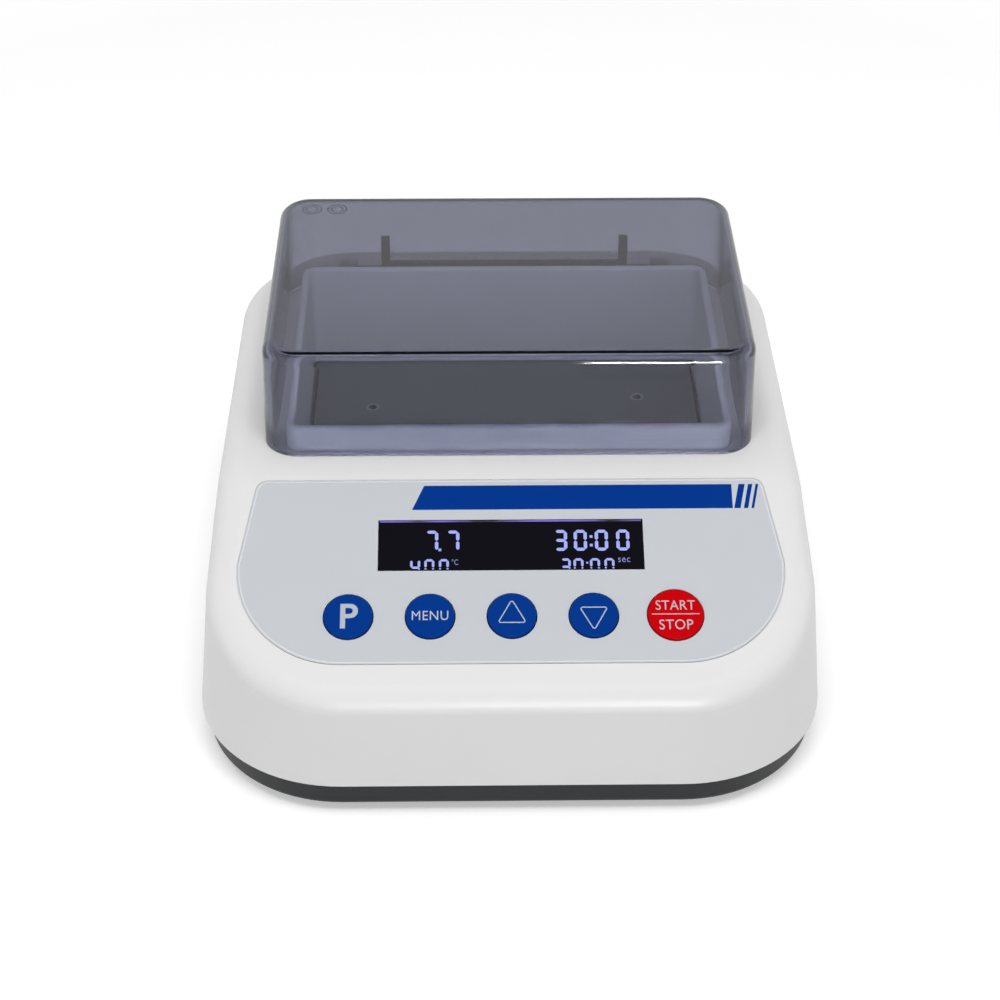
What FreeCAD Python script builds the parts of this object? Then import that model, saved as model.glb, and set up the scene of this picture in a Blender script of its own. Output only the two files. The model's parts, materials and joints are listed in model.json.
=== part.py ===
import FreeCAD, Part
import math
import os
import re
import Sketcher

# Bench-top dry bath incubator with a block well, a smoked lid and a sloping control panel.
# Millimetres. The origin is the middle of the outline at bench level, the front faces -Y, +Z is up.

SIZES = {
    "case_width": 191.0,
    "case_depth": 217.0,
    "rear_flat": 101.0,
    "deck_height": 76.0,
    "foot_height": 3.0,
    "tray_height": 10.0,
    "wall_draft": 6.2,
    "shoulder_radius": 9.0,
    "case_wall": 2.5,
    "panel_tilt": 25.1,
    "crease_setback": 72.7,
    "crease_radius": 25.0,
    "seat_gap": 0.3,
    "small_corner": 2.0,

    "tray_reveal": 0.6,
    "tray_draft": 11.3,
    "tray_floor": 2.5,
    "tray_edge_radius": 3.0,
    "lip_wall": 2.0,
    "lip_height": 4.0,
    "boss_radius": 4.0,
    "boss_inset_x": 21.5,
    "boss_inset_y": 28.5,
    "boss_foot": 6.0,
    "frame_boss_radius": 3.2,
    "pilot_radius": 1.25,
    "pilot_depth": 12.0,
    "shank_radius": 1.2,
    "shank_hole_radius": 1.7,
    "head_radius": 2.8,
    "head_height": 2.0,
    "head_recess": 1.0,
    "thread_end_gap": 1.0,
    "fan_head_radius": 3.4,
    "board_head_radius": 2.4,
    "foot_radius": 7.0,
    "foot_recess": 1.0,
    "foot_edge_round": 0.8,
    "foot_inset_x": 21.5,
    "foot_inset_y": 42.5,
    "vent_pitch": 7.0,
    "vent_width": 3.0,
    "vent_margin": 14.5,
    "vent_round": 1.45,
    "vent_count": 15,

    "well_setback": 86.0,
    "side_room": 29.5,
    "rear_room": 40.0,
    "well_depth": 35.5,
    "well_corner": 2.0,
    "rim_width": 2.6,
    "rim_rise": 8.3,
    "rim_round": 1.2,
    "ledge_width": 7.0,
    "ledge_thickness": 3.0,
    "flange_reach": 10.0,
    "flange_corner": 5.0,
    "flange_end_gap": 3.5,
    "flange_thickness": 2.5,
    "flange_drop": 6.0,
    "flange_screw_reach": 4.9,
    "flange_screw_inset": 10.0,
    "plate_gap": 0.8,
    "plate_thickness": 8.0,
    "tap_floor": 2.0,
    "block_screw_side_inset": 21.0,
    "block_screw_left_inset": 28.5,
    "block_screw_right_inset": 23.0,
    "module_side": 40.0,
    "module_thickness": 3.8,
    "module_spread": 26.0,
    "ceramic_thickness": 0.8,
    "foam_gap": 0.3,
    "foam_side_gap": 0.5,
    "foam_face_gap": 0.1,
    "sink_end_gap": 0.5,
    "sink_base": 5.0,
    "fin_height": 13.0,
    "fin_thickness": 1.4,
    "fin_margin": 12.0,
    "fin_count": 19,
    "sink_screw_inset": 4.0,
    "sink_screw_end": 9.0,
    "jacket_wall": 6.0,
    "jacket_gap": 3.0,
    "jacket_foot": 1.0,
    "sensor_radius": 2.0,
    "sensor_length": 30.0,
    "sensor_gap": 0.1,
    "sensor_port_gap": 0.5,
    "sensor_x": 20.0,
    "sensor_depth": 23.7,

    "key_setback": 27.4,
    "key_row_margin": 47.5,
    "key_diameter": 14.4,
    "start_key_diameter": 16.4,
    "key_proud": 0.8,
    "key_round": 0.6,
    "key_travel": 0.5,
    "key_flange": 1.1,
    "key_flange_thickness": 1.0,
    "plunger_radius": 3.4,
    "plunger_length": 3.7,
    "plunger_clearance": 0.1,
    "switch_side": 12.0,
    "switch_height": 4.5,
    "switch_floor": 0.8,
    "overlay_thickness": 0.5,
    "overlay_recess": 0.4,
    "overlay_gap": 0.15,
    "overlay_top": 46.0,
    "overlay_bottom": 15.2,
    "overlay_side_gap": 14.3,
    "overlay_narrowing": 4.9,
    "overlay_waist": 17.5,
    "overlay_corner": 31.0,
    "overlay_top_corner": 4.0,
    "window_width": 79.0,
    "window_height": 16.8,
    "window_centre": 23.6,
    "window_thickness": 1.8,
    "window_ledge": 2.0,
    "display_width": 84.0,
    "display_height": 23.0,
    "display_corner": 1.0,
    "board_thickness": 1.6,
    "control_board_side_gap": 29.0,
    "control_board_height": 48.0,
    "control_board_centre": 13.5,
    "control_screw_inset_x": 5.0,
    "control_screw_inset_y": 6.5,
    "control_boss_radius": 3.0,

    "lid_side_gap": 9.45,
    "lid_front_gap": 7.0,
    "lid_rear_gap": 5.5,
    "lid_height": 35.4,
    "lid_draft": 1.46,
    "lid_corner": 11.0,
    "lid_edge": 4.0,
    "lid_wall": 2.2,
    "hinge_reach": 4.5,
    "hinge_rise": 3.4,
    "barrel_radius": 2.8,
    "pin_radius": 1.0,
    "pin_clearance": 0.05,
    "arm_spread": 40.5,
    "arm_width": 2.9,
    "arm_rise": 13.5,
    "arm_depth": 3.2,
    "arm_gap": 0.04,
    "arm_foot": 2.4,
    "arm_shoulder": 2.2,
    "lug_spread": 53.5,
    "lug_width": 6.0,
    "lug_half": 3.3,
    "lug_round": 3.2,

    "fan_side": 50.0,
    "fan_thickness": 15.0,
    "fan_corner": 3.0,
    "fan_height": 42.4,
    "fan_bore": 23.4,
    "fan_hub": 12.0,
    "fan_screw_spread": 20.0,
    "fan_screw_hole": 2.2,
    "fan_screw_sink": 1.4,
    "fan_screw_grip": 9.0,
    "fan_front_gap": 1.0,
    "fan_back_gap": 0.6,
    "fan_cup_wall": 1.2,
    "fan_shaft": 1.5,
    "fan_disc": 3.0,
    "fan_sleeve": 3.2,
    "fan_arm_width": 2.6,
    "blade_count": 7,
    "blade_tip": 21.0,
    "blade_thickness": 1.2,
    "blade_spread": 1.6,
    "blade_root_half": 3.6,
    "blade_root_front": 2.0,
    "blade_root_back": 10.6,
    "blade_tip_half": 7.6,
    "blade_tip_front": 3.4,
    "blade_tip_back": 10.2,
    "grille_radius": 21.5,
    "grille_pitch": 4.6,
    "grille_slot": 2.4,
    "inlet_x": 16.0,
    "inlet_height": 39.0,
    "inlet_flange_width": 31.0,
    "inlet_flange_height": 24.0,
    "inlet_flange": 1.2,
    "inlet_width": 27.4,
    "inlet_body_height": 19.4,
    "inlet_body_depth": 20.0,
    "inlet_cavity_width": 24.2,
    "inlet_cavity_height": 16.2,
    "inlet_cavity_depth": 17.0,
    "inlet_cavity_corner": 4.0,
    "contact_width": 4.0,
    "contact_thickness": 2.0,
    "contact_tip": 6.6,
    "contact_tail": 6.5,
    "contact_spread": 7.0,
    "contact_side_y": 1.0,
    "contact_earth_y": -3.0,
    "rocker_x": 41.5,
    "rocker_height": 42.0,
    "switch_flange_width": 15.0,
    "switch_flange_height": 21.0,
    "switch_flange_corner": 1.5,
    "switch_body_width": 13.0,
    "switch_body_height": 19.0,
    "switch_body_depth": 15.0,
    "switch_cavity_width": 11.2,
    "switch_cavity_height": 17.2,
    "switch_cavity_depth": 10.0,
    "rocker_width": 10.4,
    "rocker_length": 15.4,
    "rocker_tilt": 10.0,
    "rocker_pivot": 3.0,
    "rocker_pin_reach": 1.0,
    "rocker_pin_gap": 0.1,
    "rocker_hollow": 0.6,
    "rocker_foot": 1.2,

    "power_board_width": 112.0,
    "power_board_length": 54.0,
    "power_board_setback": 43.0,
    "standoff_radius": 3.0,
    "standoff_height": 5.0,
    "standoff_inset": 4.0,
    "transformer_width": 30.0,
    "transformer_depth": 26.0,
    "transformer_height": 22.0,
    "cooler_width": 3.0,
    "cooler_depth": 36.0,
    "cooler_height": 18.0,
    "relay_width": 20.0,
    "relay_side": 15.0,
    "terminal_width": 34.0,
    "terminal_depth": 8.0,
    "terminal_height": 10.0,
    "capacitor_radius": 5.0,
    "capacitor_height": 20.0,
}

# Lengths that follow from the sizes above.
DERIVED = {
    "front_y": "-case_depth / 2",
    "corner_radius": "(case_width - rear_flat) / 2",
    "seam_height": "foot_height + tray_height",
    "shell_height": "deck_height - seam_height",
    "crease_y": "front_y + crease_setback",
    "key_y": "front_y + key_setback",
    "key_z": "deck_height - (crease_y - key_y) * tan(panel_tilt)",
    "boss_spread_x": "case_width / 2 - boss_inset_x",
    "boss_spread_y": "case_depth / 2 - boss_inset_y",
    "foot_spread_x": "case_width / 2 - foot_inset_x",
    "foot_spread_y": "case_depth / 2 - foot_inset_y",
    "well_width": "case_width - 2 * side_room",
    "well_length": "case_depth - well_setback - rear_room",
    "well_y": "front_y + well_setback + well_length / 2",
    "vent_length": "well_length - 2 * vent_margin",
    "rim_top": "deck_height + rim_rise",
    "plate_top": "rim_top - well_depth",
    "plate_bottom": "plate_top - plate_thickness",
    "frame_bottom": "plate_bottom - ledge_thickness",
    "frame_width": "well_width + 2 * rim_width",
    "frame_length": "well_length + 2 * rim_width",
    "flange_length": "well_length - 2 * flange_end_gap",
    "flange_screw_x": "frame_width / 2 + flange_screw_reach",
    "flange_screw_y": "flange_length / 2 - flange_screw_inset",
    "flange_top": "deck_height - case_wall - flange_drop",
    "flange_bottom": "flange_top - flange_thickness",
    "jacket_bottom": "frame_bottom + jacket_foot",
    "jacket_height": "flange_bottom - jacket_gap - jacket_bottom",
    "plate_width": "well_width - 2 * plate_gap",
    "plate_length": "well_length - 2 * plate_gap",
    "block_screw_x": "well_width / 2 - block_screw_side_inset",
    "block_screw_left_y": "well_length / 2 - block_screw_left_inset",
    "block_screw_right_y": "well_length / 2 - block_screw_right_inset",
    "fin_pitch": "(well_width - 2 * fin_margin) / (fin_count - 1)",
    "sink_length": "well_length - 2 * sink_end_gap",
    "sink_screw_x": "well_width / 2 - sink_screw_inset",
    "sink_screw_y": "sink_length / 2 - sink_screw_end",
    "sink_top": "plate_bottom - module_thickness",
    "sink_bottom": "sink_top - sink_base",
    "lid_width": "well_width + 2 * lid_side_gap",
    "lid_length": "well_length + lid_front_gap + lid_rear_gap",
    "lid_y": "front_y + well_setback - lid_front_gap + lid_length / 2",
    "lid_bottom": "deck_height + seat_gap",
    "hinge_y": "lid_y + lid_length / 2 + hinge_reach",
    "hinge_z": "deck_height + hinge_rise",
    "tray_width": "case_width - 2 * tray_reveal - 2 * tray_height * tan(tray_draft)",
    "tray_depth": "case_depth - 2 * tray_reveal - 2 * tray_height * tan(tray_draft)",
    "tray_corner": "corner_radius - tray_reveal - tray_height * tan(tray_draft)",
    "lip_inset": "case_wall + seat_gap + lip_height * tan(wall_draft)",
    "key_pitch": "(case_width / 2 - key_row_margin) / 2",
    "overlay_half": "case_width / 2 - overlay_side_gap",
    "overlay_top_half": "overlay_half - overlay_narrowing",
    "overlay_face": "overlay_thickness - overlay_recess",
    "control_board_width": "case_width - 2 * control_board_side_gap",
    "control_screw_x": "control_board_width / 2 - control_screw_inset_x",
    "control_screw_y": "control_board_height / 2 - control_screw_inset_y",
    "flange_face": "-case_wall - seat_gap",
    "flange_back": "flange_face - key_flange_thickness",
    "switch_face": "flange_back - key_travel - seat_gap / 2",
    "board_face": "switch_face - switch_height",
    "tray_top_floor": "foot_height + tray_floor",
    "power_board_y": "front_y + power_board_setback",
    "fan_x": "(rear_flat - fan_side - seat_gap) / 2",
}

doc = FreeCAD.newDocument("dry_bath_incubator")
sheet = doc.addObject("Spreadsheet::Sheet", "sizes")
for row, (alias, number) in enumerate(SIZES.items(), start=1):
    sheet.set(f"A{row}", alias.replace("_", " "))
    sheet.set(f"B{row}", str(number))
    sheet.setAlias(f"B{row}", alias)
doc.recompute()

NODES = []


def formula(text):
    """Write the named sizes in a formula out as cells of the sheet."""
    def full(match):
        word = match.group(0)
        if word in DERIVED:
            return "(" + formula(DERIVED[word]) + ")"
        if word in SIZES:
            return "sizes." + word
        return word
    return re.sub(r"[A-Za-z_]\w*", full, text)


def value(text):
    """The number that a formula gives with the present sizes."""
    return float(sheet.evalExpression(formula(text)))


def bind(item, prop, text):
    item.setExpression(prop, formula(text))


def spot(x="0", y="0", z="0", turn="0", axis="1; 0; 0"):
    """A placement as a formula: a turn about one axis through the point x, y, z."""
    where = f"create(<<vector>>; {x}; {y}; {z})"
    return f"create(<<placement>>; {where}; create(<<rotation>>; create(<<vector>>; {axis}); {turn}))"


def on_panel(x="0", along="0", out="0", base="0"):
    """A place on the sloping panel: along it from the key row, and out from its surface."""
    y = f"key_y + ({along}) * cos(panel_tilt) - ({out}) * sin(panel_tilt)"
    z = f"key_z - ({base}) + ({along}) * sin(panel_tilt) + ({out}) * cos(panel_tilt)"
    return spot(x, y, z, "panel_tilt")


def on_rear_wall(x, height, out="0", base="0"):
    """A place on the leaning rear wall at a height, with local y down the wall and z outwards."""
    y = f"case_depth / 2 - (({height}) - seam_height) * tan(wall_draft) + ({out}) * cos(wall_draft)"
    z = f"({height}) - ({base}) + ({out}) * sin(wall_draft)"
    return spot(x, y, z, "wall_draft - 90")


def node(piece, label):
    """Give a finished piece its name and list it for the export."""
    piece.Label = label
    NODES.append(piece)
    return piece


def new_body(label, place=None, listed=True):
    body = doc.addObject("PartDesign::Body", label)
    if place:
        bind(body, "Placement", place)
    if listed:
        node(body, label)
    return body


def sketch_on(body, name, role="XY_Plane", offset=None):
    """A sketch on one of the body's origin planes, moved by an offset placement."""
    sketch = body.newObject("Sketcher::SketchObject", name)
    plane = next(item for item in body.Origin.OriginFeatures if item.Role == role)
    sketch.AttachmentSupport = [(plane, "")]
    sketch.MapMode = "FlatFace"
    if offset:
        bind(sketch, "AttachmentOffset", offset)
    return sketch


def lift(height):
    return spot(z=height)


class Rules:
    """Constraints gathered for one sketch, added together so that it is solved only once."""

    def __init__(self, sketch):
        self.sketch = sketch
        self.constraints = []
        self.formulas = []

    def add(self, *words):
        self.constraints.append(Sketcher.Constraint(*words))

    def drive(self, text, *words):
        """Add a driving dimension whose value is a formula."""
        self.formulas.append((len(self.constraints), text))
        self.add(*words, value(text))

    def hold(self, geometry, point, x, y):
        """Hold a sketch point at a place, given as formulas from the sketch origin."""
        for text, kind, axis in ((x, "DistanceX", -2), (y, "DistanceY", -1)):
            if text == "0":
                self.add("PointOnObject", geometry, point, axis)
            else:
                self.drive(text, kind, -1, 1, geometry, point)

    def apply(self):
        first = len(self.sketch.Constraints)
        self.sketch.addConstraint(self.constraints)
        for place, text in self.formulas:
            bind(self.sketch, f"Constraints[{first + place}]", text)


def circle(sketch, radius, x="0", y="0"):
    centre = FreeCAD.Vector(value(x), value(y), 0)
    ring = Part.Circle(centre, FreeCAD.Vector(0, 0, 1), value(radius))
    geometry = sketch.addGeometry(ring, False)
    rules = Rules(sketch)
    rules.hold(geometry, 3, x, y)
    rules.drive(radius, "Radius", geometry)
    rules.apply()


def corner_arc(before, corner, after, radius):
    """The arc that rounds a corner, its two tangent points, and whether it turns left."""
    back = (before - corner).normalize()
    ahead = (after - corner).normalize()
    half = back.getAngle(ahead) / 2
    reach = radius / math.tan(half)
    centre = corner + (back + ahead).normalize() * (radius / math.sin(half))
    first = corner + back * reach
    last = corner + ahead * reach
    left = (corner - before).cross(after - corner).z > 0
    begin, end = (first, last) if left else (last, first)
    start = math.atan2(begin.y - centre.y, begin.x - centre.x)
    stop = math.atan2(end.y - centre.y, end.x - centre.x)
    if stop < start:
        stop += 2 * math.pi
    ring = Part.Circle(centre, FreeCAD.Vector(0, 0, 1), radius)
    return Part.ArcOfCircle(ring, start, stop), first, last, left


def outline(sketch, corners):
    """A closed outline through corners (x, y) or (x, y, radius), all given as formulas."""
    points = [FreeCAD.Vector(value(item[0]), value(item[1]), 0) for item in corners]
    count = len(corners)
    enter = list(points)
    leave = list(points)
    arcs = {}
    for index, item in enumerate(corners):
        if len(item) == 3:
            arc, first, last, left = corner_arc(
                points[index - 1], points[index], points[(index + 1) % count], value(item[2]))
            arcs[index] = (sketch.addGeometry(arc, False), left)
            enter[index] = first
            leave[index] = last
    lines = []
    for index in range(count):
        edge = Part.LineSegment(leave[index], enter[(index + 1) % count])
        lines.append(sketch.addGeometry(edge, False))
    rules = Rules(sketch)
    for index, item in enumerate(corners):
        before = lines[index - 1]
        after = lines[index]
        if index not in arcs:
            rules.add("Coincident", before, 2, after, 1)
            rules.hold(after, 1, item[0], item[1])
            continue
        arc, left = arcs[index]
        begin, end = (1, 2) if left else (2, 1)
        rules.add("Tangent", before, 2, arc, begin)
        rules.add("Tangent", arc, end, after, 1)
        rules.drive(item[2], "Radius", arc)
        mark = sketch.addGeometry(Part.Point(points[index]), True)
        rules.hold(mark, 1, item[0], item[1])
        rules.add("PointOnObject", mark, 1, before)
        rules.add("PointOnObject", mark, 1, after)
    rules.apply()


def rectangle(sketch, width, height, radius=None, x="0", y="0"):
    """A rectangle about a centre, with rounded corners where a radius is given."""
    left = f"{x} - ({width}) / 2"
    right = f"{x} + ({width}) / 2"
    low = f"{y} - ({height}) / 2"
    high = f"{y} + ({height}) / 2"
    corners = [(left, low), (right, low), (right, high), (left, high)]
    if radius:
        corners = [(*corner, radius) for corner in corners]
    outline(sketch, corners)


def pad(body, sketch, name, length, taper=None, midplane=False):
    feature = body.newObject("PartDesign::Pad", name)
    feature.Profile = sketch
    bind(feature, "Length", length)
    feature.Midplane = midplane
    if taper:
        bind(feature, "TaperAngle", taper)
    return finish(body, feature)


def pocket(body, sketch, name, length=None, upwards=False, midplane=False):
    """Cut a sketch into the body, against the sketch normal unless it goes upwards."""
    before = body.Shape.Volume
    feature = body.newObject("PartDesign::Pocket", name)
    feature.Profile = sketch
    feature.Midplane = midplane
    feature.Reversed = upwards
    if length:
        bind(feature, "Length", length)
    else:
        feature.Type = "ThroughAll"
    finish(body, feature)
    if not feature.Shape.Volume < before:
        raise RuntimeError(f"{body.Label}: {name} cuts nothing")
    return feature


def row_of(body, feature, name, sketch, pitch, count):
    """Repeat a feature along the sketch's horizontal axis."""
    row = body.newObject("PartDesign::LinearPattern", name)
    row.Originals = [feature]
    row.Direction = (sketch, ["H_Axis"])
    bind(row, "Length", f"{pitch} * ({count} - 1)")
    bind(row, "Occurrences", count)
    return finish(body, row)


def revolve(body, sketch, name):
    feature = body.newObject("PartDesign::Revolution", name)
    feature.Profile = sketch
    feature.ReferenceAxis = (sketch, ["V_Axis"])
    feature.Angle = 360.0
    return finish(body, feature)


def finish(body, feature):
    """Recompute, make the feature the body's tip and stop at a failure."""
    body.Tip = feature
    doc.recompute()
    bad = "Invalid" in feature.State or "Error" in feature.State
    if bad or feature.Shape.isNull() or not feature.Shape.isValid():
        raise RuntimeError(f"{body.Label}: {feature.Name} failed")
    return feature


def fillet(body, name, radius, chosen):
    """Round the edges of the body's tip that a test chooses."""
    base = body.Tip
    edges = [f"Edge{index}" for index, edge in enumerate(base.Shape.Edges, start=1) if chosen(edge)]
    if not edges:
        raise RuntimeError(f"{body.Label}: {name} finds no edge")
    feature = body.newObject("PartDesign::Fillet", name)
    feature.Base = (base, edges)
    bind(feature, "Radius", radius)
    return finish(body, feature)


def samples(edge, count=5):
    """Points spread along an edge, its ends included."""
    span = edge.LastParameter - edge.FirstParameter
    return [edge.valueAt(edge.FirstParameter + span * index / (count - 1)) for index in range(count)]


def level(edge, height):
    """True for an edge that lies at one height."""
    return all(abs(point.z - height) < 1e-4 for point in samples(edge))


def box(name, width, depth, height, place):
    """A plain block whose placement is at the middle of its underside."""
    block = doc.addObject("Part::Box", name)
    bind(block, "Length", width)
    bind(block, "Width", depth)
    bind(block, "Height", height)
    x, y, z = place
    bind(block, "Placement", spot(f"({x}) - ({width}) / 2", f"({y}) - ({depth}) / 2", z))
    return block


def cylinder(name, radius, height, place):
    rod = doc.addObject("Part::Cylinder", name)
    bind(rod, "Radius", radius)
    bind(rod, "Height", height)
    bind(rod, "Placement", place)
    return rod


def group(kind, name, items):
    """A compound or a union of several objects."""
    whole = doc.addObject(kind, name)
    if kind == "Part::Compound":
        whole.Links = items
    else:
        whole.Shapes = items
    return whole


def cut(name, base, tool):
    piece = doc.addObject("Part::Cut", name)
    piece.Base = base
    piece.Tool = tool
    doc.recompute()
    return piece


def screw_set(label, places, length, head="head_radius", shank="shank_radius"):
    """One node of like screws, each with its head above its seat and its shank below."""
    screws = []
    for index, place in enumerate(places, start=1):
        top = cylinder(f"{label}_head{index}", head, "head_height", spot())
        stem = cylinder(f"{label}_stem{index}", shank, length, spot(z=f"-({length})"))
        screw = group("Part::MultiFuse", f"{label}{index}", [top, stem])
        bind(screw, "Placement", place)
        screws.append(screw)
    doc.recompute()
    return node(group("Part::Compound", label, screws), label)


SIDES = (-1, 1)
CORNERS = [(across, along) for across in SIDES for along in SIDES]


def case_form(name, inset):
    """The outer form of the case, or the same form set in by a wall: drafted walls on a rounded
    plan, a deck that breaks into the sloping panel over a soft crease, and a rounded shoulder."""
    body = new_body(name, listed=False)
    plan = sketch_on(body, name + "_plan")
    rectangle(plan, f"case_width - 2 * ({inset})", f"case_depth - 2 * ({inset})",
              f"corner_radius - {inset}")
    pad(body, plan, name + "_walls", "shell_height + 1", taper="-wall_draft")

    slope = sketch_on(body, name + "_slope", "YZ_Plane")
    top = f"shell_height - {inset}"
    crease = f"crease_y + {inset} * tan(panel_tilt / 2)"
    ahead = "front_y - 30"
    behind = "-front_y + 30"
    outline(slope, [
        (ahead, f"{top} + ({ahead} - ({crease})) * tan(panel_tilt)"),
        (crease, top, f"crease_radius - {inset}"),
        (behind, top),
        (behind, "shell_height + 30"),
        (ahead, "shell_height + 30")])
    pocket(body, slope, name + "_deck", midplane=True)

    deck = value(top)
    break_y = value(crease)
    slant = math.tan(math.radians(value("panel_tilt")))
    soft = value("crease_radius") * math.tan(math.radians(value("panel_tilt")) / 2) + 1

    def on_top(point):
        if abs(point.y - break_y) < soft:
            return point.z > deck - soft
        ideal = deck if point.y > break_y else deck + (point.y - break_y) * slant
        return abs(point.z - ideal) < 1e-3

    def around(edge):
        across = edge.BoundBox.YLength < 1e-4 and abs(edge.BoundBox.Center.y - break_y) < soft
        return not across and all(on_top(point) for point in samples(edge))

    fillet(body, name + "_shoulder", f"shoulder_radius - {inset}", around)
    return body


def shell_columns():
    """Bosses that hang inside the case: for the tray screws, the well frame and the control board."""
    columns = []
    for across, along in CORNERS:
        place = spot(f"{across} * boss_spread_x", f"{along} * boss_spread_y", "boss_foot")
        columns.append(cylinder("tray_boss", "boss_radius", "shell_height", place))
        place = spot(f"{across} * flange_screw_x", f"well_y + {along} * flange_screw_y",
                     "flange_top - seam_height")
        columns.append(cylinder("frame_boss", "frame_boss_radius", "flange_drop + case_wall", place))
        place = on_panel(f"{across} * control_screw_x",
                         f"control_board_centre + {along} * control_screw_y", "board_face", "seam_height")
        columns.append(cylinder("panel_boss", "control_boss_radius", "-(board_face)", place))
    return group("Part::Compound", "case_bosses", columns)


def overlay_outline(sketch, spare):
    """The wide shield shape of the control panel's sheet, made larger by a spare width."""
    half = f"(overlay_half + {spare})"
    top = f"overlay_top + {spare}"
    bottom = f"-overlay_bottom - {spare}"
    outline(sketch, [
        (f"-{half}", bottom, "overlay_corner"),
        (half, bottom, "overlay_corner"),
        (half, "overlay_waist"),
        (f"overlay_top_half + {spare}", top, "overlay_top_corner"),
        (f"-overlay_top_half - {spare}", top, "overlay_top_corner"),
        (f"-{half}", "overlay_waist")])


KEYS = [
    ("program", -2, "key_diameter"),
    ("menu", -1, "key_diameter"),
    ("up", 0, "key_diameter"),
    ("down", 1, "key_diameter"),
    ("start_stop", 2, "start_key_diameter"),
]


def key_openings(sketch):
    for _, place, diameter in KEYS:
        circle(sketch, f"{diameter} / 2 + seat_gap", x=f"{place} * key_pitch" if place else "0")


def make_shell():
    blank_void = cut("case_void", case_form("case_inside", "case_wall"), shell_columns())
    blank = cut("case_skin", case_form("case_outside", "0"), blank_void)
    shell = new_body("upper_shell")
    shell.BaseFeature = blank
    doc.recompute()

    well = sketch_on(shell, "well_cut", offset=lift("shell_height + 1"))
    rectangle(well, "frame_width + 2 * seat_gap", "frame_length + 2 * seat_gap",
              "well_corner + rim_width + seat_gap", y="well_y")
    pocket(shell, well, "well_opening", "case_wall + 2")

    panel = "seam_height"
    recess = sketch_on(shell, "overlay_seat", offset=on_panel(out="5", base=panel))
    overlay_outline(recess, "overlay_gap")
    pocket(shell, recess, "overlay_recess", "5 + overlay_recess")
    keys = sketch_on(shell, "key_hole_plan", offset=on_panel(out="1", base=panel))
    key_openings(keys)
    pocket(shell, keys, "key_holes", "case_wall + 2")
    seat = sketch_on(shell, "window_seat", offset=on_panel(out="1", base=panel))
    rectangle(seat, "window_width + 2 * overlay_gap", "window_height + 2 * overlay_gap",
              y="window_centre")
    pocket(shell, seat, "window_step", "1 + window_thickness - (overlay_face)")
    sight = sketch_on(shell, "window_sight", offset=on_panel(out="1", base=panel))
    rectangle(sight, "window_width - 2 * window_ledge", "window_height - 2 * window_ledge",
              y="window_centre")
    pocket(shell, sight, "window_opening", "case_wall + 2")
    pilots = sketch_on(shell, "board_pilot_plan", offset=on_panel(out="board_face", base=panel))
    for across, along in CORNERS:
        circle(pilots, "pilot_radius", f"{across} * control_screw_x",
               f"control_board_centre + {along} * control_screw_y")
    pocket(shell, pilots, "board_pilots", "-(board_face) - case_wall + 1", upwards=True)

    tray_pilots = sketch_on(shell, "tray_pilot_plan")
    for across, along in CORNERS:
        circle(tray_pilots, "pilot_radius", f"{across} * boss_spread_x", f"{along} * boss_spread_y")
    pocket(shell, tray_pilots, "tray_pilots", "boss_foot + pilot_depth", upwards=True)
    frame_pilots = sketch_on(shell, "frame_pilot_plan")
    for across, along in CORNERS:
        circle(frame_pilots, "pilot_radius", f"{across} * flange_screw_x",
               f"well_y + {along} * flange_screw_y")
    pocket(shell, frame_pilots, "frame_pilots", "flange_top - seam_height + flange_drop", upwards=True)

    rear = "seam_height"
    fan = sketch_on(shell, "grille_plan", offset=on_rear_wall("-fan_x", "fan_height", "2", rear))
    for step in range(-4, 5):
        half = f"sqrt(grille_radius ^ 2 - ({step} * grille_pitch) ^ 2)"
        rectangle(fan, f"2 * {half}", "grille_slot", y=f"{step} * grille_pitch" if step else "0")
    pocket(shell, fan, "grille_slots", "case_wall + 4")
    holes = sketch_on(shell, "fan_hole_plan", offset=on_rear_wall("-fan_x", "fan_height", "2", rear))
    for across, along in CORNERS:
        circle(holes, "fan_screw_hole", f"{across} * fan_screw_spread", f"{along} * fan_screw_spread")
    pocket(shell, holes, "fan_holes", "case_wall + 4")
    sinks = sketch_on(shell, "fan_sink_plan", offset=on_rear_wall("-fan_x", "fan_height", "2", rear))
    for across, along in CORNERS:
        circle(sinks, "fan_head_radius + seat_gap",
               f"{across} * fan_screw_spread", f"{along} * fan_screw_spread")
    pocket(shell, sinks, "fan_screw_sinks", "2 + fan_screw_sink")
    inlet = sketch_on(shell, "inlet_cut", offset=on_rear_wall("inlet_x", "inlet_height", "2", rear))
    rectangle(inlet, "inlet_width + seat_gap", "inlet_body_height + seat_gap")
    pocket(shell, inlet, "inlet_opening", "case_wall + 4")
    switch = sketch_on(shell, "switch_cut", offset=on_rear_wall("rocker_x", "rocker_height", "2", rear))
    rectangle(switch, "switch_body_width + seat_gap", "switch_body_height + seat_gap")
    pocket(shell, switch, "switch_opening", "case_wall + 4")

    for side in SIDES:
        start = f"{side} * lug_spread - lug_width / 2"
        place = spot("hinge_y", "hinge_z - seam_height", start)
        lug = sketch_on(shell, "lug_plan", "YZ_Plane", place)
        outline(lug, [("-lug_half", "-hinge_rise - 1"), ("lug_half", "-hinge_rise - 1"),
                      ("lug_half", "lug_half", "lug_round"), ("-lug_half", "lug_half", "lug_round")])
        pad(shell, lug, "hinge_lug", "lug_width")
        bore = sketch_on(shell, "lug_bore_plan", "YZ_Plane", place)
        circle(bore, "pin_radius + pin_clearance")
        pocket(shell, bore, "lug_bore", "lug_width", upwards=True)
    bind(shell, "Placement", lift("seam_height"))
    return shell


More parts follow.
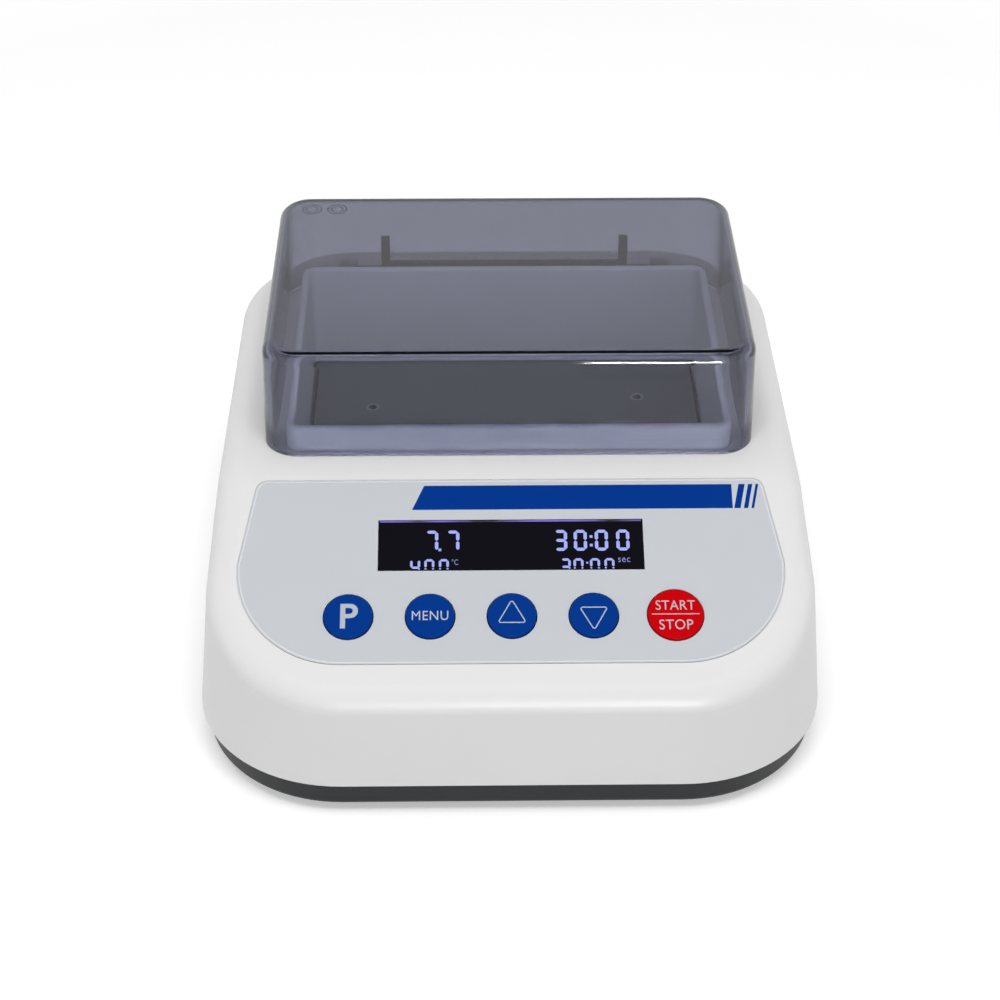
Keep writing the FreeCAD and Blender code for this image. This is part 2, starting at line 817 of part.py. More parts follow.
def make_tray():
    tray = new_body("base_tray", lift("foot_height"))
    plan = sketch_on(tray, "tray_plan")
    rectangle(plan, "tray_width", "tray_depth", "tray_corner")
    pad(tray, plan, "tray_block", "tray_height", taper="tray_draft")
    fillet(tray, "tray_edge", "tray_edge_radius", lambda edge: level(edge, 0))
    lip = sketch_on(tray, "lip_plan", offset=lift("tray_height"))
    rectangle(lip, "case_width - 2 * (lip_inset)", "case_depth - 2 * (lip_inset)",
              "corner_radius - (lip_inset)")
    pad(tray, lip, "tray_lip", "lip_height")
    hollow = sketch_on(tray, "tray_hollow_plan", offset=lift("tray_height + lip_height"))
    inset = "(lip_inset + lip_wall)"
    rectangle(hollow, f"case_width - 2 * {inset}", f"case_depth - 2 * {inset}", f"corner_radius - {inset}")
    pocket(tray, hollow, "tray_hollow", "tray_height + lip_height - tray_floor")

    posts = sketch_on(tray, "post_plan", offset=lift("tray_floor"))
    for across, along in CORNERS:
        circle(posts, "boss_radius", f"{across} * boss_spread_x", f"{along} * boss_spread_y")
    pad(tray, posts, "screw_posts", "tray_height - tray_floor + boss_foot")
    studs = sketch_on(tray, "standoff_plan", offset=lift("tray_floor"))
    for across, along in CORNERS:
        circle(studs, "standoff_radius", *board_corner(across, along))
    pad(tray, studs, "board_standoffs", "standoff_height")

    through = sketch_on(tray, "screw_hole_plan")
    for across, along in CORNERS:
        circle(through, "shank_hole_radius", f"{across} * boss_spread_x", f"{along} * boss_spread_y")
    pocket(tray, through, "screw_holes", upwards=True)
    sinks = sketch_on(tray, "screw_sink_plan")
    for across, along in CORNERS:
        circle(sinks, "head_radius + seat_gap", f"{across} * boss_spread_x", f"{along} * boss_spread_y")
    pocket(tray, sinks, "screw_sinks", "head_height + head_recess", upwards=True)
    pilots = sketch_on(tray, "standoff_pilot_plan", offset=lift("tray_floor + standoff_height"))
    for across, along in CORNERS:
        circle(pilots, "pilot_radius", *board_corner(across, along))
    pocket(tray, pilots, "standoff_pilots", "standoff_height")
    seats = sketch_on(tray, "foot_seat_plan")
    for across, along in CORNERS:
        circle(seats, "foot_radius + seat_gap", f"{across} * foot_spread_x", f"{along} * foot_spread_y")
    pocket(tray, seats, "foot_seats", "foot_recess", upwards=True)
    vents = sketch_on(tray, "vent_plan")
    rectangle(vents, "vent_width", "vent_length", "vent_round",
              x="-vent_pitch * (vent_count - 1) / 2", y="well_y")
    slot = pocket(tray, vents, "air_vent", "tray_floor", upwards=True)
    row_of(tray, slot, "air_vents", vents, "vent_pitch", "vent_count")


def board_corner(across, along):
    """A screw place of the power board, as x and y formulas."""
    x = f"{across} * (power_board_width / 2 - standoff_inset)"
    y = f"power_board_y + {along} * (power_board_length / 2 - standoff_inset)"
    return x, y


def make_feet():
    names = {(-1, -1): "front_left", (1, -1): "front_right", (-1, 1): "rear_left", (1, 1): "rear_right"}
    for (across, along), where in names.items():
        foot = new_body("foot_" + where, spot(f"{across} * foot_spread_x", f"{along} * foot_spread_y"))
        disc = sketch_on(foot, "foot_plan")
        circle(disc, "foot_radius")
        pad(foot, disc, "foot_disc", "foot_height + foot_recess")
        fillet(foot, "foot_edge", "foot_edge_round", lambda edge: level(edge, 0))
    places = [spot(f"{across} * boss_spread_x", f"{along} * boss_spread_y",
                   "foot_height + head_height + head_recess", "180") for across, along in CORNERS]
    grip = "tray_height + boss_foot - head_height - head_recess"
    screw_set("base_screws", places, grip + " + pilot_depth - 2 * thread_end_gap")


def make_well():
    frame = new_body("well_frame", spot("0", "well_y", "frame_bottom"))
    height = "(rim_top - frame_bottom)"
    outer = sketch_on(frame, "frame_plan")
    rectangle(outer, "frame_width", "frame_length", "well_corner + rim_width")
    pad(frame, outer, "frame_block", height)
    ears = sketch_on(frame, "flange_plan", offset=lift("flange_bottom - frame_bottom"))
    rectangle(ears, "frame_width + 2 * flange_reach", "flange_length", "flange_corner")
    pad(frame, ears, "frame_flange", "flange_thickness")
    well = sketch_on(frame, "well_plan", offset=lift(height))
    rectangle(well, "well_width", "well_length", "well_corner")
    pocket(frame, well, "block_well", f"{height} - ledge_thickness")
    window = sketch_on(frame, "ledge_plan")
    rectangle(window, "well_width - 2 * ledge_width", "well_length - 2 * ledge_width", "well_corner")
    pocket(frame, window, "ledge_window", upwards=True)
    holes = sketch_on(frame, "ledge_hole_plan")
    for across, along in CORNERS:
        circle(holes, "shank_hole_radius", f"{across} * sink_screw_x", f"{along} * sink_screw_y")
    pocket(frame, holes, "ledge_holes", "ledge_thickness", upwards=True)
    ear_holes = sketch_on(frame, "ear_hole_plan", offset=lift("flange_top - (frame_bottom) + 1"))
    for across, along in CORNERS:
        circle(ear_holes, "shank_hole_radius", f"{across} * flange_screw_x", f"{along} * flange_screw_y")
    pocket(frame, ear_holes, "ear_holes", "flange_thickness + 2")
    port = sketch_on(frame, "sensor_port_plan", "XZ_Plane",
                     spot("-sensor_x", "ledge_thickness + plate_thickness / 2", "-(frame_length) / 2 - 1"))
    circle(port, "sensor_radius + seat_gap")
    pocket(frame, port, "sensor_port", "rim_width + 2", upwards=True)
    top = value(height)
    fillet(frame, "rim_edge", "rim_round", lambda edge: level(edge, top))
    places = [spot(f"{across} * flange_screw_x", f"well_y + {along} * flange_screw_y",
                   "flange_bottom", "180") for across, along in CORNERS]
    screw_set("frame_screws", places, "flange_thickness + flange_drop - thread_end_gap")

    plate = new_body("heating_plate", spot("0", "well_y", "plate_bottom"))
    slab = sketch_on(plate, "plate_plan")
    rectangle(slab, "plate_width", "plate_length", "well_corner")
    pad(plate, slab, "plate_slab", "plate_thickness")
    taps = sketch_on(plate, "block_tap_plan")
    circle(taps, "pilot_radius", "-block_screw_x", "block_screw_left_y")
    circle(taps, "pilot_radius", "block_screw_x", "block_screw_right_y")
    pocket(plate, taps, "block_taps", upwards=True)
    blind = sketch_on(plate, "sink_tap_plan")
    for across, along in CORNERS:
        circle(blind, "pilot_radius", f"{across} * sink_screw_x", f"{along} * sink_screw_y")
    pocket(plate, blind, "sink_taps", "plate_thickness - tap_floor", upwards=True)
    bore = sketch_on(plate, "sensor_bore_plan", "XZ_Plane",
                     spot("-sensor_x", "plate_thickness / 2", "-(plate_length) / 2"))
    circle(bore, "sensor_radius + sensor_gap")
    pocket(plate, bore, "sensor_bore", "sensor_depth + seat_gap", upwards=True)

    probe = cylinder("temperature_sensor", "sensor_radius", "sensor_length",
                     spot("-sensor_x", "well_y + plate_length / 2 + sensor_length - sensor_depth",
                          "plate_bottom + plate_thickness / 2", "90"))
    node(probe, "temperature_sensor")


def make_cooling():
    for side, name in ((-1, "thermoelectric_left"), (1, "thermoelectric_right")):
        module = new_body(name, spot(f"{side} * module_spread", "well_y", "sink_top"))
        heights = ("0", "ceramic_thickness", "module_thickness - ceramic_thickness")
        depths = ("ceramic_thickness", "module_thickness - 2 * ceramic_thickness", "ceramic_thickness")
        sizes = ("module_side", "module_side - 2 * ceramic_thickness", "module_side")
        for height, depth, width in zip(heights, depths, sizes):
            layer = sketch_on(module, name + "_layer", offset=lift(height))
            rectangle(layer, width, width)
            pad(module, layer, name + "_slab", depth)

    pack = new_body("insulation_sheet", spot("0", "well_y", "sink_top + foam_face_gap"))
    sheet_plan = sketch_on(pack, "sheet_plan")
    rectangle(sheet_plan, "well_width - 2 * (ledge_width + foam_side_gap)",
              "well_length - 2 * (ledge_width + foam_side_gap)", "well_corner")
    for side in SIDES:
        rectangle(sheet_plan, "module_side + 2 * foam_gap", "module_side + 2 * foam_gap",
                  x=f"{side} * module_spread")
    pad(pack, sheet_plan, "foam_sheet", "module_thickness - 2 * foam_face_gap")

    jacket = new_body("insulation_jacket", spot("0", "well_y", "jacket_bottom"))
    ring = sketch_on(jacket, "jacket_plan")
    rectangle(ring, "frame_width + 2 * seat_gap + 2 * jacket_wall",
              "frame_length + 2 * seat_gap + 2 * jacket_wall", "well_corner + rim_width + jacket_wall")
    rectangle(ring, "frame_width + 2 * seat_gap", "frame_length + 2 * seat_gap",
              "well_corner + rim_width + seat_gap")
    pad(jacket, ring, "foam_ring", "jacket_height")
    slot = sketch_on(jacket, "jacket_port_plan", "XZ_Plane",
                     spot("-sensor_x", "ledge_thickness + plate_thickness / 2 - jacket_foot",
                          "-(frame_length) / 2 - jacket_wall - 2"))
    circle(slot, "sensor_radius + sensor_port_gap")
    pocket(jacket, slot, "jacket_port", "jacket_wall + 3", upwards=True)

    sink = new_body("heat_sink", spot("0", "well_y", "sink_bottom"))
    base = sketch_on(sink, "sink_plan")
    rectangle(base, "well_width", "sink_length", "small_corner")
    pad(sink, base, "sink_base_slab", "sink_base")
    holes = sketch_on(sink, "sink_hole_plan")
    for across, along in CORNERS:
        circle(holes, "shank_hole_radius", f"{across} * sink_screw_x", f"{along} * sink_screw_y")
    pocket(sink, holes, "sink_holes", upwards=True)
    fins = sketch_on(sink, "fin_plan", offset=lift("-fin_height"))
    rectangle(fins, "fin_thickness", "sink_length", x="-fin_pitch * (fin_count - 1) / 2")
    fin = pad(sink, fins, "sink_fin", "fin_height")
    row_of(sink, fin, "sink_fins", fins, "fin_pitch", "fin_count")
    places = [spot(f"{across} * sink_screw_x", f"well_y + {along} * sink_screw_y", "sink_bottom", "180")
              for across, along in CORNERS]
    screw_set("sink_screws", places,
              "sink_base + module_thickness + plate_thickness - tap_floor - 2 * thread_end_gap")


def blade_section(sketch, end, thickness):
    """The slanted section of a fan blade at its root or its tip."""
    outline(sketch, [
        (f"-{end}_half", f"{end}_front"), (f"-{end}_half + {thickness}", f"{end}_front"),
        (f"{end}_half", f"{end}_back"), (f"{end}_half - {thickness}", f"{end}_back")])


def make_fan():
    seat = on_rear_wall("-fan_x", "fan_height", "-case_wall - fan_thickness")
    frame = new_body("fan_frame", seat)
    square = sketch_on(frame, "fan_plan")
    rectangle(square, "fan_side", "fan_side", "fan_corner")
    circle(square, "fan_bore")
    for across, along in CORNERS:
        circle(square, "fan_screw_hole", f"{across} * fan_screw_spread", f"{along} * fan_screw_spread")
    pad(frame, square, "fan_duct", "fan_thickness")
    back = "(fan_thickness - fan_disc)"
    spider = sketch_on(frame, "spider_plan", offset=lift(back))
    rectangle(spider, "2 * fan_bore + 2", "fan_arm_width")
    pad(frame, spider, "spider_arm", "fan_disc")
    cross = sketch_on(frame, "spider_cross_plan", offset=lift(back))
    rectangle(cross, "fan_arm_width", "2 * fan_bore + 2")
    pad(frame, cross, "spider_cross", "fan_disc")
    disc = sketch_on(frame, "stator_plan", offset=lift(back))
    circle(disc, "fan_hub")
    pad(frame, disc, "stator_disc", "fan_disc")
    sleeve = sketch_on(frame, "sleeve_plan", offset=lift("fan_disc + fan_back_gap"))
    circle(sleeve, "fan_sleeve")
    pad(frame, sleeve, "bearing_sleeve", f"{back} - fan_disc - fan_back_gap")
    bore = sketch_on(frame, "bearing_plan", offset=lift("fan_disc + fan_back_gap"))
    circle(bore, "fan_shaft + pin_clearance")
    pocket(frame, bore, "bearing_bore", f"{back} - fan_disc + 1.5", upwards=True)

    rotor = new_body("fan_rotor", seat)
    cup = sketch_on(rotor, "cup_profile", "XZ_Plane")
    front = "fan_front_gap"
    rim = f"{back} - fan_back_gap"
    inner = "fan_hub - fan_cup_wall"
    floor = "fan_front_gap + fan_cup_wall"
    end = f"{back} + fan_back_gap"
    outline(cup, [("0", front), ("fan_hub", front), ("fan_hub", rim), (inner, rim), (inner, floor),
                  ("fan_shaft", floor), ("fan_shaft", end), ("0", end)])
    revolve(rotor, cup, "rotor_cup")
    root = sketch_on(rotor, "blade_root", "YZ_Plane", lift("fan_hub - fan_cup_wall + 0.05"))
    blade_section(root, "blade_root", "blade_thickness")
    tip = sketch_on(rotor, "blade_end", "YZ_Plane", lift("blade_tip"))
    blade_section(tip, "blade_tip", "blade_spread * blade_thickness")
    blade = rotor.newObject("PartDesign::AdditiveLoft", "fan_blade")
    blade.Profile = root
    blade.Sections = [tip]
    blade.Ruled = True
    finish(rotor, blade)
    ring = rotor.newObject("PartDesign::PolarPattern", "fan_blades")
    ring.Originals = [blade]
    ring.Axis = (cup, ["V_Axis"])
    ring.Angle = 360.0
    bind(ring, "Occurrences", "blade_count")
    finish(rotor, ring)
    places = [on_rear_wall(f"-fan_x + {across} * fan_screw_spread",
                           f"fan_height - {along} * fan_screw_spread * cos(wall_draft)",
                           "-fan_screw_sink")
              for across, along in CORNERS]
    screw_set("fan_screws", places, "case_wall + fan_screw_grip", head="fan_head_radius",
              shank="fan_screw_hole - seat_gap")


def make_power():
    place = on_rear_wall("inlet_x", "inlet_height")
    inlet = new_body("power_inlet", place)
    flange = sketch_on(inlet, "inlet_flange_plan")
    rectangle(flange, "inlet_flange_width", "inlet_flange_height", "small_corner")
    pad(inlet, flange, "inlet_flange", "inlet_flange")
    shroud = sketch_on(inlet, "inlet_body_plan", offset=lift("-inlet_body_depth"))
    rectangle(shroud, "inlet_width", "inlet_body_height")
    pad(inlet, shroud, "inlet_body", "inlet_body_depth")
    cavity = sketch_on(inlet, "inlet_cavity_plan", offset=lift("inlet_flange"))
    half = "inlet_cavity_width / 2"
    tall = "inlet_cavity_height / 2"
    slant = "inlet_cavity_corner"
    outline(cavity, [
        (f"-{half}", f"-{tall} + {slant}"), (f"-{half} + {slant}", f"-{tall}"),
        (f"{half} - {slant}", f"-{tall}"), (half, f"-{tall} + {slant}"), (half, tall), (f"-{half}", tall)])
    pocket(inlet, cavity, "inlet_cavity", "inlet_cavity_depth")
    slots = sketch_on(inlet, "contact_slot_plan", offset=lift("-inlet_body_depth"))
    contacts = [("-contact_spread", "contact_side_y"), ("contact_spread", "contact_side_y"),
                ("0", "contact_earth_y")]
    for x, y in contacts:
        rectangle(slots, "contact_thickness + 2 * pin_clearance", "contact_width + 2 * pin_clearance",
                  x=x, y=y)
    pocket(inlet, slots, "contact_slots", "inlet_body_depth - inlet_cavity_depth + 2", upwards=True)
    length = "inlet_body_depth + contact_tail - contact_tip + inlet_flange"
    pins = []
    for index, (x, y) in enumerate(contacts, start=1):
        pin = new_body(f"inlet_contact{index}", place, listed=False)
        blade = sketch_on(pin, "contact_plan", offset=lift("-inlet_body_depth - contact_tail"))
        rectangle(blade, "contact_thickness", "contact_width", x=x, y=y)
        pad(pin, blade, "contact_blade", length)
        pins.append(pin)
    node(group("Part::Compound", "inlet_contacts", pins), "inlet_contacts")

    place = on_rear_wall("rocker_x", "rocker_height")
    housing = new_body("switch_housing", place)
    rim = sketch_on(housing, "switch_flange_plan")
    rectangle(rim, "switch_flange_width", "switch_flange_height", "switch_flange_corner")
    pad(housing, rim, "switch_flange", "inlet_flange")
    shroud = sketch_on(housing, "switch_body_plan", offset=lift("-switch_body_depth"))
    rectangle(shroud, "switch_body_width", "switch_body_height")
    pad(housing, shroud, "switch_body", "switch_body_depth")
    cavity = sketch_on(housing, "switch_cavity_plan", offset=lift("inlet_flange"))
    rectangle(cavity, "switch_cavity_width", "switch_cavity_height")
    pocket(housing, cavity, "switch_cavity", "switch_cavity_depth")
    span = "rocker_width + 2 * (rocker_pin_reach + rocker_pin_gap)"
    bore = sketch_on(housing, "rocker_bore_plan", "YZ_Plane",
                     spot("0", "-rocker_pivot", f"-({span}) / 2"))
    circle(bore, "pin_radius + pin_clearance")
    pocket(housing, bore, "rocker_bore", span, upwards=True)

    tilt = "wall_draft - 90 + rocker_tilt"
    y = ("case_depth / 2 - (rocker_height - seam_height) * tan(wall_draft)"
         " - rocker_pivot * cos(wall_draft)")
    z = "rocker_height - rocker_pivot * sin(wall_draft)"
    rocker = new_body("power_rocker", spot("rocker_x", y, z, tilt))
    side = sketch_on(rocker, "rocker_profile", "YZ_Plane")
    outline(side, [
        ("-rocker_length / 2 + rocker_foot", "-rocker_foot"),
        ("rocker_length / 2 - rocker_foot", "-rocker_foot"),
        ("rocker_length / 2", "rocker_pivot + rocker_hollow"), ("0", "rocker_pivot - rocker_hollow"),
        ("-rocker_length / 2", "rocker_pivot + rocker_hollow")])
    pad(rocker, side, "rocker_blade", "rocker_width", midplane=True)
    pivot = sketch_on(rocker, "rocker_pivot_plan", "YZ_Plane")
    circle(pivot, "pin_radius")
    pad(rocker, pivot, "rocker_pins", "rocker_width + 2 * rocker_pin_reach", midplane=True)

    top = "tray_top_floor + standoff_height"
    board = new_body("power_board", spot("0", "power_board_y", top))
    slab = sketch_on(board, "power_board_plan")
    rectangle(slab, "power_board_width", "power_board_length", "small_corner")
    for across, along in CORNERS:
        circle(slab, "shank_hole_radius", f"{across} * (power_board_width / 2 - standoff_inset)",
               f"{along} * (power_board_length / 2 - standoff_inset)")
    pad(board, slab, "power_board_slab", "board_thickness")
    face = f"{top} + board_thickness"
    parts = [
        box("transformer", "transformer_width", "transformer_depth", "transformer_height",
            ("-30", "power_board_y + 8", face)),
        box("rectifier_cooler", "cooler_width", "cooler_depth", "cooler_height",
            ("22", "power_board_y", face)),
        box("relay", "relay_width", "relay_side", "relay_side", ("36", "power_board_y + 14", face)),
        box("terminal_block", "terminal_width", "terminal_depth", "terminal_height",
            ("-24", "power_board_y - 17", face))]
    for index, x in enumerate(("-4", "8"), start=1):
        for row in SIDES:
            parts.append(cylinder(f"reservoir{index}", "capacitor_radius", "capacitor_height",
                                  spot(x, f"power_board_y + {row} * 8", face)))
    node(group("Part::Compound", "power_parts", parts), "power_parts")
    places = [spot(*board_corner(across, along), face) for across, along in CORNERS]
    screw_set("power_board_screws", places, "board_thickness + standoff_height - thread_end_gap")


def make_panel():
    overlay = new_body("control_overlay", on_panel(out="-overlay_recess"))
    shape = sketch_on(overlay, "overlay_plan")
    overlay_outline(shape, "0")
    key_openings(shape)
    rectangle(shape, "window_width + 2 * overlay_gap", "window_height + 2 * overlay_gap",
              y="window_centre")
    pad(overlay, shape, "overlay_sheet", "overlay_thickness")

    window = new_body("display_window", on_panel(along="window_centre",
                                                 out="overlay_face - window_thickness"))
    pane = sketch_on(window, "window_plan")
    rectangle(pane, "window_width", "window_height")
    pad(window, pane, "window_pane", "window_thickness")

    display = new_body("display_module", on_panel(along="window_centre", out="board_face"))
    glass = sketch_on(display, "display_plan")
    rectangle(glass, "display_width", "display_height", "display_corner")
    pad(display, glass, "display_can", "-(board_face) - case_wall - seat_gap")

    board = new_body("control_board", on_panel(along="control_board_centre",
                                               out="board_face - board_thickness"))
    slab = sketch_on(board, "control_board_plan")
    rectangle(slab, "control_board_width", "control_board_height", "small_corner")
    for across, along in CORNERS:
        circle(slab, "shank_hole_radius", f"{across} * control_screw_x", f"{along} * control_screw_y")
    pad(board, slab, "control_board_slab", "board_thickness")
    y_back = "key_y + (control_board_centre + {0} * control_screw_y) * cos(panel_tilt)"
    y_back += " - (board_face - board_thickness) * sin(panel_tilt)"
    z_back = "key_z + (control_board_centre + {0} * control_screw_y) * sin(panel_tilt)"
    z_back += " + (board_face - board_thickness) * cos(panel_tilt)"
    places = [spot(f"{across} * control_screw_x", y_back.format(along), z_back.format(along),
                   "panel_tilt + 180") for across, along in CORNERS]
    screw_set("control_board_screws", places, "board_thickness - board_face - case_wall - thread_end_gap",
              head="board_head_radius")

    for name, place, diameter in KEYS:
        x = f"{place} * key_pitch"
        switch = new_body("switch_" + name, on_panel(x, out="board_face"))
        case = sketch_on(switch, "switch_plan")
        rectangle(case, "switch_side", "switch_side")
        pad(switch, case, "switch_case", "switch_height")
        well = sketch_on(switch, "switch_bore_plan", offset=lift("switch_height"))
        circle(well, "plunger_radius + plunger_clearance")
        pocket(switch, well, "switch_bore", "switch_height - switch_floor")

        key = new_body("key_" + name, on_panel(x))
        cap = f"{diameter} / 2"
        profile = sketch_on(key, "key_profile", "XZ_Plane")
        outline(profile, [
            ("0", "flange_back - plunger_length"), ("plunger_radius", "flange_back - plunger_length"),
            ("plunger_radius", "flange_back"), (f"{cap} + key_flange", "flange_back"),
            (f"{cap} + key_flange", "flange_face"), (cap, "flange_face"),
            (cap, "key_proud", "key_round"), ("0", "key_proud")])
        revolve(key, profile, "key_cap")


def lid_form(name, inset):
    """The drafted box form of the lid, or the same form set in by its wall."""
    body = new_body(name, listed=False)
    plan = sketch_on(body, name + "_plan")
    rectangle(plan, f"lid_width - 2 * {inset}", f"lid_length - 2 * {inset}", f"lid_corner - {inset}")
    pad(body, plan, name + "_block", f"lid_height - {inset}", taper="-lid_draft")
    top = value(f"lid_height - {inset}")
    fillet(body, name + "_top_edge", f"lid_edge - {inset}", lambda edge: level(edge, top))
    return body


def make_lid():
    lid = cut("lid", lid_form("lid_outside", "0"), lid_form("lid_inside", "lid_wall"))
    bind(lid, "Placement", spot("0", "lid_y", "lid_bottom"))
    doc.recompute()
    node(lid, "lid")

    bracket = new_body("hinge_bracket", spot("0", "hinge_y", "hinge_z"))
    rod = sketch_on(bracket, "barrel_plan", "YZ_Plane")
    circle(rod, "barrel_radius")
    pad(bracket, rod, "hinge_barrel", "2 * arm_spread + arm_width", midplane=True)
    for side in SIDES:
        arm = sketch_on(bracket, "arm_profile", "YZ_Plane", lift(f"{side} * arm_spread - arm_width / 2"))
        slant = "tan(lid_draft)"
        base = "-hinge_rise + seat_gap"
        low = "-arm_foot"
        face = "-hinge_reach + arm_gap"
        outline(arm, [
            (f"{face} - ({low} - ({base})) * {slant}", low), ("0", low), ("0", "arm_shoulder"),
            ("arm_depth - hinge_reach", "arm_shoulder"), ("arm_depth - hinge_reach", "arm_rise"),
            (f"{face} - (arm_rise - ({base})) * {slant}", "arm_rise")])
        pad(bracket, arm, "hinge_arm", "arm_width")
    bore = sketch_on(bracket, "barrel_bore_plan", "YZ_Plane")
    circle(bore, "pin_radius + pin_clearance")
    pocket(bracket, bore, "barrel_bore", midplane=True)

    span = "2 * lug_spread + lug_width - 2 * seat_gap"
    pin = cylinder("hinge_pin", "pin_radius", span,
                   spot(f"-({span}) / 2", "hinge_y", "hinge_z", "90", "0; 1; 0"))
    node(pin, "hinge_pin")


def check_and_export():
    """Stop at any failed object or bad shape, then write one file for each node."""
    doc.recompute()
    for item in doc.Objects:
        if "Invalid" in item.State or "Error" in item.State:
            raise RuntimeError(f"{item.Name} did not build")
    for piece in NODES:
        if piece.Shape.isNull() or not piece.Shape.isValid() or not piece.Shape.Solids:
            raise RuntimeError(f"{piece.Label} has a bad shape")
    os.makedirs("parts", exist_ok=True)
    for piece in NODES:
        piece.Shape.exportStep(f"parts/{piece.Label}.step")
        print(f"{piece.Label}: {len(piece.Shape.Solids)} solid, {piece.Shape.Volume / 1000:.2f} cm3")


make_shell()
make_tray()
make_feet()
make_well()
make_cooling()
make_fan()
make_power()
make_panel()
make_lid()
check_and_export()
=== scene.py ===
import json
import math

import bmesh
import bpy
from mathutils import Matrix, Vector


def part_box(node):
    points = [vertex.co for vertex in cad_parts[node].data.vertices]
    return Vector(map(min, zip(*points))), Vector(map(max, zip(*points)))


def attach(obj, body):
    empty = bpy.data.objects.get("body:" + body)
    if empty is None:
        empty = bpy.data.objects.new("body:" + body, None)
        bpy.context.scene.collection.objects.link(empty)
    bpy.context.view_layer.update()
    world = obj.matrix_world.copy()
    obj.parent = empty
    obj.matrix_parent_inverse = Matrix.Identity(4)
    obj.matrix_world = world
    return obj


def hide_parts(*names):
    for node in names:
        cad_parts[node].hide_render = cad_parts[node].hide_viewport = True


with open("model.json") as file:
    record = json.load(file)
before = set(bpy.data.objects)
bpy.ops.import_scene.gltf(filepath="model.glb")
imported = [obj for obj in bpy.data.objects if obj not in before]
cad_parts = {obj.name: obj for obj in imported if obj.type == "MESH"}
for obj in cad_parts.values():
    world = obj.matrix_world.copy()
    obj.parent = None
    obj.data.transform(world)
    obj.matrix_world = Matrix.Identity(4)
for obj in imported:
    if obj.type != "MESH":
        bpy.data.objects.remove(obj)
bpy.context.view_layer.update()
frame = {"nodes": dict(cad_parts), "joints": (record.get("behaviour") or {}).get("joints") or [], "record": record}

bl_info = {
    "name": "Dry bath incubator dressing",
    "version": (1, 0, 0),
    "blender": (4, 5, 0),
    "location": "View3D > Sidebar > Dry Bath",
    "description": "Finishes, printed sheet, lit display and studio for a bench-top dry bath incubator",
    "category": "Object",
}

MM = 0.001

# The control panel's own frame: its surface normal comes from the travel of a key, and its
# origin is the middle of the display window's face.
JOINTS = {joint["name"]: joint for joint in frame["joints"]}
PRESS = JOINTS["key_up_press"]["axis"]
PANEL_NORMAL = -Vector(PRESS).normalized()
PANEL_TILT = math.atan2(-PANEL_NORMAL.y, PANEL_NORMAL.z)
WINDOW_LOW, WINDOW_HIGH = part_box("display_window")
WINDOW_HALF_THICKNESS = 0.9 * MM
WINDOW_FACE = (WINDOW_LOW + WINDOW_HIGH) / 2 + PANEL_NORMAL * WINDOW_HALF_THICKNESS
KEY_ROW = -23.6 * MM
KEY_PITCH = 24 * MM
KEY_FACE = 0.7 * MM

# The control sheet's outline and printed bar, in mm from the window's middle.
SHEET_HALF = 81.2
SHEET_TOP_HALF = 76.3
SHEET_TOP = 22.4
SHEET_SHOULDER = -6.1
SHEET_BOTTOM = -38.8
SHEET_CORNER = 31.0
SHEET_TOP_CORNER = 4.0
EDGE_INSET = 0.55
BAR_LOW, BAR_HIGH = 12.0, 20.3
BAR_LEFT_LOW, BAR_LEFT_HIGH, BAR_RIGHT = -29.6, -26.0, 67.1
STRIPES = ((68.4, 1.9), (71.3, 1.3), (73.6, 0.8))
STRIPE_SLANT = 0.9

# The rear wall leans forward; the rocker's face is two slopes that meet at its middle.
REAR_LEAN = math.radians(6.2)
ROCKER_TILT = math.radians(10)
ROCKER_HALF = 7.8 * MM
ROCKER_FACE = 3.0 * MM
ROCKER_SLOPE = math.atan2(1.2, 7.7)

# Two plain moulded marks under the lid's top, and the screws that hold a block down.
MARK_PLACES = (-64.0 * MM, -55.7 * MM)
MARK_ROW = 64.5 * MM
MARK_RADII = (3.1 * MM, 1.9 * MM)
BLOCK_SCREWS = [mount["pos_m"][:2] for mount in frame["record"]["mounts"]
                if mount["name"].startswith("block_screw")]


def on_panel(x, along, out=0.0):
    """A matrix that lays a flat piece on the panel, measured from the window's middle."""
    turn = Matrix.Rotation(PANEL_TILT, 4, "X")
    return Matrix.Translation(WINDOW_FACE) @ turn @ Matrix.Translation((x, along, out))


def on_key(place, out=0.0):
    return on_panel(place * KEY_PITCH, KEY_ROW, KEY_FACE + out)


class Value:
    """An output socket that takes part in Python expressions, each adding a Math node."""

    def __init__(self, recipe, socket):
        self.recipe = recipe
        self.socket = socket

    def combine(self, operation, *others):
        return self.recipe.add("ShaderNodeMath", {"operation": operation}, [self, *others])

    def __add__(self, other):
        return self.combine("ADD", other)

    __radd__ = __add__

    def __sub__(self, other):
        return self.combine("SUBTRACT", other)

    def __rsub__(self, other):
        return self.recipe.add("ShaderNodeMath", {"operation": "SUBTRACT"}, [other, self])

    def __mul__(self, other):
        return self.combine("MULTIPLY", other)

    __rmul__ = __mul__

    def __truediv__(self, other):
        return self.combine("DIVIDE", other)

    def __pow__(self, other):
        return self.combine("POWER", other)

    def __gt__(self, other):
        return self.combine("GREATER_THAN", other)

    def __lt__(self, other):
        return self.combine("LESS_THAN", other)


